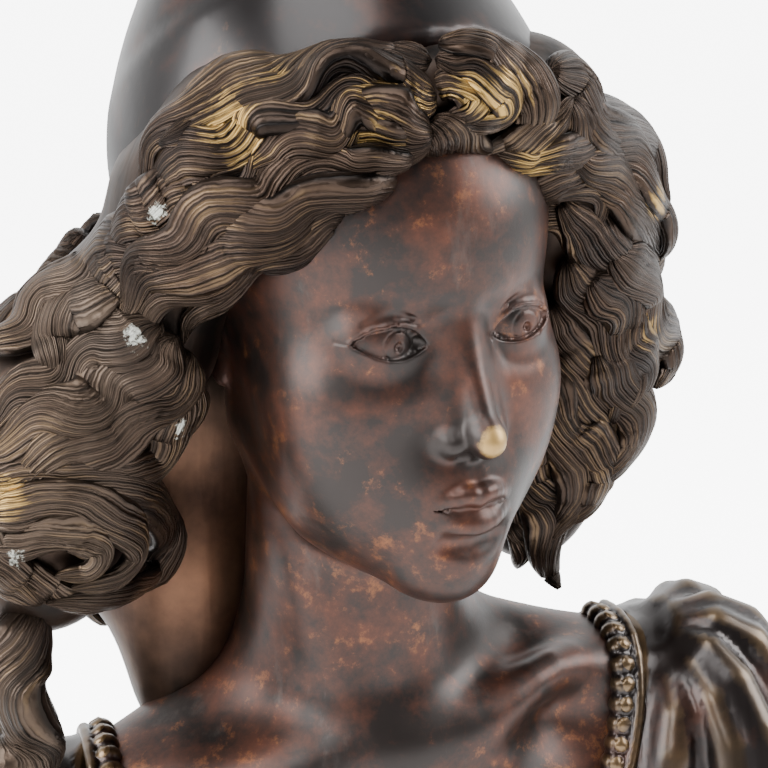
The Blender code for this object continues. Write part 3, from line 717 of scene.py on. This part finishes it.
# The hair is parted in the middle and falls in long waving locks, each chased with up to a dozen strands.
# Under the locks lies one broad mass of hair, and a free lock hangs beside the neck.
HAIR_MASSES = {
    -1: (((-0.25, -0.07, 0.84), (0.15, 0.18, 0.13)), ((-0.35, 0.03, 0.66), (0.12, 0.20, 0.17)),
         ((-0.42, 0.12, 0.44), (0.16, 0.20, 0.17)), ((-0.56, 0.13, 0.26), (0.18, 0.20, 0.20)),
         ((-0.62, 0.10, 0.06), (0.16, 0.16, 0.17))),
    1: (((0.27, -0.09, 0.84), (0.15, 0.17, 0.13)), ((0.37, -0.02, 0.64), (0.18, 0.22, 0.20)),
        ((0.44, 0.04, 0.38), (0.19, 0.21, 0.22)), ((0.43, 0.06, 0.16), (0.17, 0.17, 0.21))),
}
NAPE_MASSES = (((-0.04, 0.36, 0.30), (0.44, 0.20, 0.40)), ((-0.06, 0.36, -0.05), (0.44, 0.17, 0.30)),
               ((-0.27, 0.25, -0.25), (0.13, 0.12, 0.28)))
HAIRLINE = ((0.0, -0.285, 0.930), (0.13, -0.275, 0.905), (0.235, -0.215, 0.815), (0.290, -0.120, 0.680))


def hair_base():
    clay = Clay(HEAD_POSE)
    for side in SIDES:
        for centre, radii in HAIR_MASSES[side]:
            clay.ball(centre, radii, 0.10)
        clay.coil(mirrored(HAIRLINE, side), (0.045, 0.065, 0.070, 0.060), 0.08)
    for centre, radii in NAPE_MASSES:
        clay.ball(centre, radii, 0.12)
    return clay


BASE = hair_base()
BASE.ball((0.49, 0.05, 0.20), (0.16, 0.17, 0.20), 0.10)
BASE.ball((0.42, 0.04, -0.02), (0.12, 0.13, 0.14), 0.10)
PICTURE_MIDDLE = 384.0
PICTURE_SIZE = 768.0


def smoothed(values, rounds):
    for _ in range(rounds):
        padded = np.concatenate([values[:1], values, values[-1:]])
        values = 0.25 * padded[:-2] + 0.5 * padded[1:-1] + 0.25 * padded[2:]
    return values


def on_hair(drawn, lift):
    """Places for points drawn on the picture, where the eye's rays come within lift of the hair's base."""
    drawn = np.array(drawn, float)
    scale = PICTURE_WIDTH / PICTURE_SIZE
    across = (drawn[:, :1] - PICTURE_MIDDLE) * scale * np.array(RIGHT)
    up = (PICTURE_MIDDLE - drawn[:, 1:2]) * scale * np.array(UP)
    eye = np.array(EYE_POINT) / HEAD_HEIGHT
    plane = (np.array(VIEW_MIDDLE) + across + up) / HEAD_HEIGHT
    rays = unit(plane - eye)
    depths = np.linspace(-0.75, 0.75, 76)
    spots = plane[:, None, :] + depths[None, :, None] * rays[:, None, :]
    gaps = BASE.distance(spots.reshape(-1, 3)).reshape(len(drawn), -1) - lift
    met = gaps <= 0
    first = np.where(met.any(axis=1), met.argmax(axis=1), gaps.argmin(axis=1))
    depth = smoothed(depths[first], 6)
    return plane + depth[:, None] * rays


def outward(form, points):
    """The direction away from a form at each point."""
    step = 0.01
    here = form.distance(points)
    return unit(np.stack([form.distance(points + step * axis) - here for axis in np.eye(3)], axis=1))


ALONG = 56
OUTER, INNER = 36, 8
GROOVE = 0.0080
BUNDLE = 0.030
TIP = 0.40
EDGE_WRAP = 0.2


def lock_mesh(route, width, thick, strands, seed):
    """One lock as a flattened, tapering sweep, with its strands in bundles along its outer side.

    It gives its corners and faces, and for each corner its height on the bundles and its strand's number.
    """
    chance = np.random.default_rng(seed)
    share = np.linspace(0, 1, len(route))
    along = unit(np.gradient(route, axis=0))
    normal = smoothed(outward(BASE, route), 5)
    normal = unit(normal - along * (normal * along).sum(axis=1)[:, None])
    across = np.cross(along, normal)
    roll = 0.35 * np.sin(math.tau * share * 1.2 + chance.uniform(0, math.tau))[:, None]
    rolled = normal * np.cos(roll) + across * np.sin(roll)
    across = across * np.cos(roll) - normal * np.sin(roll)
    outer = np.linspace(-EDGE_WRAP, math.pi + EDGE_WRAP, OUTER)
    inner = np.linspace(math.pi + EDGE_WRAP, math.tau - EDGE_WRAP, INNER + 2)[1:-1]
    turn = np.concatenate([outer, inner])
    side, rise = np.cos(turn)[None, :], np.sin(turn)[None, :]
    taper = np.minimum(1, (share / 0.12) ** 0.5) * np.clip((1 - share) / TIP, 0, 1) ** 0.6
    taper = np.maximum(taper, 0.05)
    phases = chance.uniform(0, math.tau, 6)
    drift = 0.12 * np.sin(math.tau * 1.1 * share + phases[0])
    drift = drift + 0.05 * np.sin(math.tau * 2.9 * share + phases[1])
    lane = side * 0.5 + 0.5 + drift[:, None] * (1 - side**2)
    bundles = max(3, round(width / BUNDLE))
    uneven = 0.5 * np.sin(math.tau * lane * 1.4 + phases[2]) / bundles
    ridge = np.abs(np.sin(math.pi * bundles * (lane + uneven))) ** 0.6
    deep = 0.7 + 0.3 * np.sin(math.tau * (1.6 * share[:, None] + lane) + phases[3])
    outside = np.clip(rise * 3 + 0.4, 0, 1)
    groove = GROOVE * deep * (ridge - 1) * outside * np.minimum(1, taper[:, None] * 1.6)
    half = (width / 2 * taper * (1 + 0.08 * np.sin(math.tau * 1.7 * share + phases[4])))[:, None]
    high = (thick * np.sqrt(taper))[:, None]
    body = (route[:, None, :] + across[:, None, :] * (half * side)[:, :, None]
            + rolled[:, None, :] * ((high + groove) * rise)[:, :, None])
    count = len(turn)
    ring = np.arange(len(route) - 1)[:, None] * count + np.arange(count)
    beside = np.arange(len(route) - 1)[:, None] * count + (np.arange(count) + 1) % count
    faces = np.stack([ring, beside, beside + count, ring + count], axis=2).reshape(-1, 4).tolist()
    faces.append(list(range(count))[::-1])
    faces.append(list(range((len(route) - 1) * count, len(route) * count)))
    return body.reshape(-1, 3), faces, (ridge * outside).reshape(-1), (lane * strands).reshape(-1)


WITHIN_BOX = 0.001


def hair_piece(name, locks):
    """Joins the meshes of many locks into one piece."""
    corners, faces, crests, strands, shift = [], [], [], [], 0
    for points, sides, crest, strand in locks:
        corners.append(points)
        faces.extend([[corner + shift for corner in face] for face in sides])
        crests.append(crest)
        strands.append(strand)
        shift += len(points)
    corners = np.vstack(corners)
    corners[:, 1] = np.maximum(corners[:, 1], cad_box[0][1] / HEAD_HEIGHT + WITHIN_BOX)
    piece = linked(name, bpy.data.meshes.new(name))
    piece.data.from_pydata(corners.tolist(), [], faces)
    for label, values in (("crest", crests), ("strand", strands)):
        layer = piece.data.attributes.new(label, "FLOAT", "POINT")
        layer.data.foreach_set("value", np.concatenate(values).astype(np.float32))
    return piece


# Each lock: its drawn route, its width on the picture, its rise over the base, and its waves' height
LOCKS_HER_RIGHT = (
    ((436, 92), (386, 100), (336, 108), (286, 120), (244, 138), 80, 0.040, 5),
    ((432, 126), (382, 134), (332, 146), (282, 160), (240, 176), 80, 0.040, 5),
    ((400, 52), (340, 62), (280, 78), (224, 98), (176, 124), (150, 170), (140, 210), 56, 0.040, 5),
    ((300, 130), (256, 140), (210, 156), (168, 182), (140, 214), 60, 0.040, 6),
    ((432, 62), (380, 62), (320, 72), (262, 88), (205, 112), (166, 150), 62, 0.060, 6),
    ((428, 84), (376, 88), (318, 98), (262, 114), (214, 138), (186, 178), 62, 0.070, 7),
    ((424, 108), (372, 114), (316, 126), (262, 142), (222, 160), (206, 190), 62, 0.075, 7),
    ((420, 132), (366, 142), (312, 154), (262, 170), (226, 190), 60, 0.075, 7),
    ((414, 156), (360, 168), (306, 184), (256, 206), (200, 232), (150, 262), (116, 300), 62, 0.075, 7),
    ((406, 178), (350, 190), (298, 210), (248, 234), (196, 258), (146, 284), (112, 322), 60, 0.070, 6),
    ((380, 200), (330, 214), (284, 238), (236, 262), (186, 284), (146, 308), (128, 350), 56, 0.055, 6),
    ((350, 216), (306, 238), (262, 264), (224, 290), (196, 318), (184, 346), 36, 0.025, 4),
    ((222, 196), (176, 200), (140, 220), (118, 262), 60, 0.050, 4),
    ((136, 232), (100, 262), (62, 296), (24, 326), (-24, 352), 62, 0.040, 4),
    ((150, 250), (108, 276), (80, 310), (56, 340), (46, 384), 62, 0.045, 5),
    ((160, 318), (122, 344), (80, 366), (34, 396), (-24, 430), 62, 0.050, 6),
    ((176, 336), (140, 370), (96, 398), (46, 424), (-24, 458), 60, 0.055, 6),
    ((188, 350), (164, 396), (120, 428), (66, 452), (-24, 488), 54, 0.050, 5),
    ((190, 378), (180, 420), (146, 454), (98, 474), (40, 494), 42, 0.030, 4),
    ((-24, 484), (40, 474), (100, 474), (146, 498), (166, 538), (150, 576), (100, 598), (46, 604),
     46, 0.050, 2),
    ((-16, 520), (40, 504), (88, 504), (126, 522), (138, 550), (116, 576), (72, 590), 44, 0.060, 2),
    ((-24, 470), (-12, 530), (8, 576), (40, 606), 54, 0.035, 3),
    ((-6, 552), (36, 536), (74, 534), (98, 550), (88, 570), (56, 578), 38, 0.060, 2),
    ((-10, 560), (40, 584), (90, 598), (134, 590), 36, 0.025, 2),
    ((170, 384), (176, 420), (160, 456), (120, 472), (70, 470), 44, 0.045, 3),
    ((424, 140), (404, 168), (396, 192), (414, 208), (436, 206), 18, 0.012, 2),
    ((418, 150), (392, 176), (372, 196), (384, 214), 18, 0.012, 2),
)
LOCKS_HER_LEFT = (
    ((438, 44), (484, 48), (520, 72), (534, 108), (512, 138), (468, 146), 44, 0.045, 3),
    ((434, 62), (474, 66), (502, 86), (506, 110), (484, 124), (450, 128), 40, 0.055, 2),
    ((430, 82), (460, 86), (478, 100), (470, 114), (444, 116), 34, 0.060, 2),
    ((430, 120), (468, 142), (508, 146), (546, 128), (570, 98), 46, 0.050, 4),
    ((428, 130), (462, 152), (512, 158), (560, 148), (600, 150), (622, 176), 52, 0.055, 5),
    ((430, 160), (466, 180), (518, 184), (562, 178), (592, 196), (600, 232), 50, 0.050, 5),
    ((440, 186), (480, 200), (524, 206), (560, 222), (578, 262), 40, 0.035, 4),
    ((548, 70), (580, 92), (604, 122), (634, 142), (658, 170), (668, 206), 58, 0.040, 5),
    ((566, 100), (594, 130), (622, 156), (652, 186), (662, 230), (640, 262), 54, 0.050, 6),
    ((576, 150), (606, 178), (634, 206), (650, 246), (630, 286), 52, 0.050, 5),
    ((560, 200), (588, 230), (612, 262), (606, 300), (626, 330), 50, 0.045, 5),
    ((610, 250), (638, 276), (650, 310), (668, 350), (650, 386), 60, 0.055, 4),
    ((590, 276), (616, 304), (630, 340), (640, 374), (622, 408), 58, 0.060, 4),
    ((566, 260), (592, 300), (612, 340), (622, 384), (606, 424), 52, 0.050, 5),
    ((548, 300), (566, 344), (588, 384), (600, 428), (584, 470), 48, 0.035, 4),
    ((596, 350), (618, 384), (632, 424), (614, 462), (590, 484), 58, 0.050, 4),
    ((540, 360), (552, 408), (568, 450), (570, 500), (548, 540), 52, 0.045, 4),
    ((572, 420), (592, 456), (590, 496), (566, 524), 52, 0.045, 3),
    ((526, 430), (532, 480), (544, 516), (546, 552), (560, 590), 50, 0.035, 3),
    ((518, 470), (514, 510), (524, 540), (516, 566), 44, 0.020, 2),
)
PICTURE_TO_HEADS = PICTURE_WIDTH / PICTURE_SIZE / HEAD_HEIGHT
PARTING = 420
WAVE_LENGTH = 122.0
STRAND_STEP = 0.0135


def drawn_locks(rows, first_seed):
    locks = []
    for number, (*drawn, width, lift, height) in enumerate(rows):
        flat = smooth_route([(x, y, 0) for x, y in drawn], ALONG)[:, :2]
        ahead = unit(np.gradient(flat, axis=0))
        beside = np.stack([-ahead[:, 1], ahead[:, 0]], axis=1)
        phase = math.tau * (np.abs(flat[:, 0] - PARTING) + 0.9 * flat[:, 1]) / WAVE_LENGTH
        ease = np.minimum(1, 5 * np.linspace(0, 1, ALONG))
        flat = flat + beside * (height * np.sin(phase) * ease)[:, None]
        route = on_hair(flat, lift * 0.7)
        rise = 0.45 * height * PICTURE_TO_HEADS * np.sin(phase + 1.6) * ease
        route = route + smoothed(outward(BASE, route), 4) * rise[:, None]
        wide = width * PICTURE_TO_HEADS
        locks.append(lock_mesh(route, wide, wide * 0.27, wide / STRAND_STEP, first_seed + number))
    return locks


# Each family: its first and last start, its first and last end, and count, bow, waves, height and radius
NAPE_FAMILY = ((-0.42, 0.44, 0.56), (0.40, 0.44, 0.56), (-0.46, 0.46, -0.32), (0.38, 0.46, -0.32),
               9, 0.03, 2.0, 0.030, 0.056)
SIDE_FAMILIES = {
    -1: ((-0.46, 0.23, 0.46), (-0.40, 0.42, 0.54), (-0.74, 0.18, -0.04), (-0.50, 0.46, -0.24),
         9, 0.03, 2.5, 0.030, 0.052),
    1: ((0.46, 0.08, 0.74), (0.40, 0.40, 0.58), (0.54, 0.14, 0.00), (0.42, 0.44, -0.24),
        8, 0.03, 2.5, 0.030, 0.052),
}


def lock_route(start, end, bow, waves, height, lift):
    """A lock's middle line on the hair's base, from a start to an end in the head's frame."""
    share = np.linspace(0, 1, ALONG)
    start, end = np.array(start, float), np.array(end, float)
    route = start + (end - start) * share[:, None]
    along = (end - start) / np.linalg.norm(end - start)
    out = route - np.array((0, 0.10, 0))
    out[:, 2] *= 0.25
    out = unit(out)
    across = unit(np.cross(along, out))
    swing = bow * np.sin(math.pi * share) + height * np.sin(math.tau * waves * share) * (0.4 + 0.6 * share)
    route = route + across * swing[:, None]
    for _ in range(6):
        gap = lift - BASE.distance(moved(route, HEAD_POSE))
        route = route + out * np.clip(gap, -0.05, 0.05)[:, None]
    return moved(route, HEAD_POSE)


def family_locks(family, first_seed):
    first, last, first_end, last_end, count, bow, waves, height, radius = family
    locks = []
    for number, share in enumerate(np.linspace(0, 1, count)):
        start = np.array(first) * (1 - share) + np.array(last) * share
        end = np.array(first_end) * (1 - share) + np.array(last_end) * share
        route = lock_route(start, end, bow, waves, height, 0.3 * radius)
        locks.append(lock_mesh(smoothed(route, 3), radius * 2.8, radius * 0.8, 10, first_seed + number))
    return locks


HANGING_LOCK = ((-0.66, 0.02, -0.02), (-0.72, -0.02, -0.14), (-0.70, -0.05, -0.26), (-0.75, -0.04, -0.38),
                (-0.73, -0.01, -0.50))
free = smooth_route([posed(point) for point in HANGING_LOCK], ALONG)
her_right = hair_piece("hair_her_right", drawn_locks(LOCKS_HER_RIGHT, 100)
                       + family_locks(SIDE_FAMILIES[-1], 140) + [lock_mesh(free, 0.13, 0.05, 7, 131)])
her_left = hair_piece("hair_her_left", drawn_locks(LOCKS_HER_LEFT, 200)
                      + family_locks(SIDE_FAMILIES[1], 240))
nape = hair_piece("hair_nape", family_locks(NAPE_FAMILY, 300))
MASS_VOXELS = (0.03, 0.02)
under = laid_up("hair_mass", (BASE,), BASE.distance, MASS_VOXELS)

# Spots drawn on the picture, with their reach in metres: crests rubbed to gold, and dust
GOLD_SPOTS = (((388, 108), 0.017), ((362, 148), 0.012), ((240, 130), 0.016), ((306, 124), 0.010),
              ((276, 84), 0.009), ((510, 96), 0.013), ((530, 160), 0.012), ((470, 90), 0.009),
              ((655, 200), 0.009), ((10, 500), 0.010), ((640, 330), 0.010))
SPECKS = (((270, 80), 0.008), ((130, 340), 0.010), ((20, 565), 0.010), ((185, 430), 0.008),
          ((160, 210), 0.008))
HOLLOW, HOLLOW_REACH = (200, 540), 0.050
GROOVE_BLACK, HAIR_BROWN = (0.003, 0.0022, 0.002, 1), (0.054, 0.034, 0.023, 1)
HAIR_STAIN, HAIR_PALE = (0.016, 0.012, 0.011, 1), (0.115, 0.085, 0.062, 1)
HAIR_TAN, HAIR_GOLD = (0.24, 0.155, 0.075, 1), (0.42, 0.265, 0.085, 1)
DUST = (0.55, 0.56, 0.50, 1)
MASS_BLACK, MASS_BROWN = (0.008, 0.006, 0.005, 1), (0.060, 0.036, 0.024, 1)
WARM_BROWN, WARM_RED = (0.045, 0.022, 0.014, 1), (0.21, 0.105, 0.060, 1)
chased = Finish("chased_bronze")


def spots_on_hair(finish, spots, lift):
    """1 at each of the spots drawn on the picture, and 0 past their reach."""
    places = [((on_hair([spot, spot], lift)[0] * HEAD_HEIGHT).tolist(), reach) for spot, reach in spots]
    return sum(finish.near(place, reach) for place, reach in places)


crest = chased.attribute("crest")
mottle = chased.noise(45, 6, 0.6)
lane = chased.attribute("strand") + chased.noise(42, 4) * 1.6
strand = (lane * math.pi).maths("SINE").maths("ABSOLUTE") ** 0.55
hairs = ((lane * 2.3 + chased.noise(90, 3)) * math.pi).maths("SINE").maths("ABSOLUTE") ** 0.7
strand = strand * 0.68 + hairs * 0.32
height = crest * 0.45 + strand * 0.55
brown = height.over(0.30, 1.0).mixed(GROOVE_BLACK, HAIR_BROWN)
brown = (mottle.over(0.46, 0.70) * 0.6).mixed(brown, HAIR_STAIN)
brown = (chased.noise(16, 4).over(0.52, 0.72) * height * 0.6).mixed(brown, HAIR_PALE)
rubbed = spots_on_hair(chased, GOLD_SPOTS, 0.05)
gold = (rubbed.over(0.0, 1.0) * 0.45 + chased.noise(75, 6, 0.65) * 0.65) * height
faint = (height * (chased.noise(28, 6, 0.65) * 1.25)).over(0.56, 0.86) * 0.55
brown = faint.mixed(brown, HAIR_TAN)
shine = gold.over(0.44, 0.66)
colour = shine.mixed(brown, HAIR_GOLD)
dust = spots_on_hair(chased, SPECKS, 0.06)
dust = (dust * 0.30 + chased.noise(190, 8, 0.7) * 0.9).over(0.74, 0.80)
colour = dust.mixed(colour, DUST)
chased.wear(Base_Color=colour, Metallic=(1 - dust) * 0.85, Roughness=(0.27 - shine * 0.05 + mottle * 0.20))
chased.bump(strand * 0.7 + mottle * 0.25, 0.0011, 0.9)
for piece in (her_right, her_left, nape):
    dress(piece, chased.material)
deep = Finish("deep_bronze")
mottle = deep.noise(40, 6, 0.6)
combed = deep.noise(110, 3, 0.5, (1, 1, 0.10))
dark = (mottle * combed * 2).over(0.30, 0.75).mixed(MASS_BLACK, MASS_BROWN)
hollow = spots_on_hair(deep, [(HOLLOW, HOLLOW_REACH)], 0.0)
warm = mottle.over(0.30, 0.80).mixed(WARM_BROWN, WARM_RED)
deep.wear(Base_Color=hollow.mixed(dark, warm), Metallic=0.8, Roughness=0.42)
deep.bump(combed + mottle * 0.4, 0.0007, 0.5)
dress(under, deep.material)


# The blouse and its full sleeves are cast with the breast, and the lace is chased along the neckline.
LACE_WIDTH = 0.0085
CLOTH = 0.022
NECKLINE_CENTRE = (0.0, 0.97)
NECKLINE_HALF = (0.56, 0.60)
NECKLINE_BACK = 0.22
NECKLINE_SQUARE = 2.6
NECKLINE_TILT = 1.6 * RISE
LACE_TURNS = (184, 354)
LACE_OVER = 0.24
SCALLOPS = 58
CORD_SIZE, LOOP_SIZE, LOOP_SUNK = 0.45, 0.95, 0.10
HOLE_SIZE, HOLE_OUT = 0.55, 0.75
SLEEVE_CENTRE = (0.73, 0.10, 0.40)
SLEEVE_RADII = (0.245, 0.30, 0.50)
SLEEVE_FOLDS = 9
FOLD_RADIUS = 0.044
FOLD_STEPS = 12
SLEEVE_TURN = 150
CUFF_RADIUS = 0.265
CUFF_LEAN = (0.97, 0.9, 0)
CUFF_DROP = 0.15
GATHER = (-0.73, -0.17, 0.80)
ROUGH_BALL = 0.13
ROUGH_GRID = ((-0.78, 0.79, 0.12), (-0.42, 0.60, 0.085), (0.04, 1.05, 0.11))
BLOUSE_VOXELS, LACE_VOXELS = (0.030, 0.016), (0.007,)
CLOTH_BLACK, CLOTH_RED = (0.015, 0.010, 0.009, 1), (0.052, 0.020, 0.012, 1)
EDGE_GOLD = (0.23, 0.145, 0.065, 1)


def neckline(points):
    """Above 0 inside the neckline's opening, seen from the front, and higher up at the back."""
    x, z = points[:, 0], points[:, 2] - NECKLINE_TILT * points[:, 0] - NECKLINE_CENTRE[1]
    depth = np.where(points[:, 1] > 0.12, NECKLINE_BACK, NECKLINE_HALF[1])
    across = np.abs(x / NECKLINE_HALF[0]) ** NECKLINE_SQUARE
    down = np.abs(np.minimum(z, 0) / depth) ** NECKLINE_SQUARE
    rounded = (across + down) ** (1 / NECKLINE_SQUARE)
    return (1 - rounded) * 0.5


def blouse_distance(torso, points):
    return np.maximum(torso.distance(points) - CLOTH, neckline(points))


def fold_route(centre, side, number):
    """One fold of a sleeve, from where the cloth is gathered at the shoulder to below the swell."""
    gather = np.array(GATHER) * (side, 1, 1)
    turn = math.radians(SLEEVE_TURN) * (2 * number / (SLEEVE_FOLDS - 1) - 1)
    route = []
    for share in np.linspace(0.06, 1.0, FOLD_STEPS):
        droop = turn * (0.55 + 0.45 * share) + 0.10 * math.sin(3 * number + 5 * share)
        polar = math.radians(20 + 125 * share)
        spot = np.array((side * math.cos(droop) * math.sin(polar), -math.sin(droop) * math.sin(polar),
                         math.cos(polar)))
        pull = (1 - share) ** 2 * 0.8
        spot = spot * (1 - pull) + gather * pull
        route.append(centre + np.array(SLEEVE_RADII) * spot / np.linalg.norm(spot))
    return route


def sleeve_clay():
    clay = Clay()
    centres = {side: np.array(SLEEVE_CENTRE) * (side, 1, 1) + (0, 0, side * RISE) for side in SIDES}
    for side in SIDES:
        clay.ball(centres[side], SLEEVE_RADII)
        foot = centres[side] * CUFF_LEAN - (0, 0, CUFF_DROP)
        clay.rod(centres[side], foot, CUFF_RADIUS, CUFF_RADIUS * 0.9, 0.10)
    girth = FOLD_RADIUS * (0.4 + 0.8 * np.sin(math.pi * np.linspace(0, 1, FOLD_STEPS)) ** 0.7)
    for side in SIDES:
        for number in range(SLEEVE_FOLDS):
            clay.section()
            clay.coil(fold_route(centres[side], side, number), girth, 0.018)
    return clay


def lace_route(torso, count):
    """The neckline's edge on the blouse, from over her right shoulder round the front to over her left."""
    route = []
    power = 2 / NECKLINE_SQUARE
    for turn in np.linspace(*np.radians(LACE_TURNS), count):
        c, s = math.cos(turn), math.sin(turn)
        x = NECKLINE_HALF[0] * math.copysign(abs(c) ** power, c)
        z = NECKLINE_CENTRE[1] - NECKLINE_HALF[1] * abs(s) ** power + NECKLINE_TILT * x
        route.append((x, -0.6, z))
    route = smooth_route(route, count)
    for _ in range(14):
        route[:, 1] += np.clip(torso.distance(route) - CLOTH, -0.1, 0.1)
    front = route[np.abs(torso.distance(route) - CLOTH) < 0.01]
    backs = []
    for end in (0, -1):
        over = np.linspace(front[end], front[end] + (0, LACE_OVER, 0), 9)[1:]
        for _ in range(14):
            over[:, 2] -= np.clip(torso.distance(over) - CLOTH, -0.1, 0.1)
        backs.append(over[np.abs(torso.distance(over) - CLOTH) < 0.01])
    return smooth_route(np.vstack([backs[0][::-1], front, backs[1]])[::3], count)


def rough_blouse():
    """A first filling of cloth over the breast, as balls wherever one fits under the cloth."""
    axes = [np.arange(*row) for row in ROUGH_GRID]
    spots = np.stack(np.meshgrid(*axes, indexing="ij"), axis=-1).reshape(-1, 3)
    clay = Clay()
    for spot in spots[blouse_distance(TORSO, spots) < -0.3 * ROUGH_BALL]:
        clay.ball(spot, ROUGH_BALL)
    return clay


SLEEVES = sleeve_clay()


def cloth_distance(points):
    cloth = blended(blouse_distance(TORSO, points), SLEEVES.distance(points), 0.05)
    return np.maximum(cloth, 0.002 - points[:, 2])


blouse = laid_up("blouse", (SLEEVES, rough_blouse()), cloth_distance, BLOUSE_VOXELS)
cloth = Finish("cloth_bronze")
mottle = cloth.noise(46, 8, 0.66)
red = (mottle + cloth.noise(12, 3) * 0.5).over(0.72, 0.92)
colour = red.mixed(CLOTH_BLACK, CLOTH_RED)
edges = cloth.place.node("ShaderNodeNewGeometry", output=7).over(0.51, 0.56)
colour = (edges * mottle * 1.3).mixed(colour, EDGE_GOLD)
cloth.wear(Base_Color=colour, Metallic=0.8, Roughness=(mottle * 0.2 + 0.24))
cloth.wear(Coat_Weight=0.6, Coat_Roughness=0.25)
cloth.bump(mottle * 0.5 + cloth.noise(220, 4) * 0.3, 0.0004, 0.25)
dress(blouse, cloth.material)


def lace_band(torso):
    """A cord on the neckline's edge, and a row of pierced loops on the skin inside it."""
    clay = Clay()
    half = LACE_WIDTH / HEAD_HEIGHT / 2
    route = lace_route(torso, SCALLOPS + 1)
    clay.coil(route, [CORD_SIZE * half] * len(route), 0.004)
    middles = (route[1:] + route[:-1]) / 2
    away = outward(torso, middles)
    inward = unit(np.cross(route[1:] - route[:-1], away))
    outside = inward[:, 0] * middles[:, 0] + inward[:, 2] * (middles[:, 2] - NECKLINE_CENTRE[1])
    inward *= -np.sign(outside)[:, None]
    loops = middles + inward * half
    loops -= away * (torso.distance(loops) - LOOP_SUNK * half)[:, None]
    for loop in loops:
        clay.ball(loop, [LOOP_SIZE * half] * 3, 0.004)
    for loop, out in zip(loops, away):
        clay.ball(loop + out * half * HOLE_OUT, [HOLE_SIZE * half] * 3, 0.003, carve=True)
    return clay


band = lace_band(TORSO)
lace = laid_up("lace", (band,), band.distance, LACE_VOXELS)
dress(lace, cloth.material)
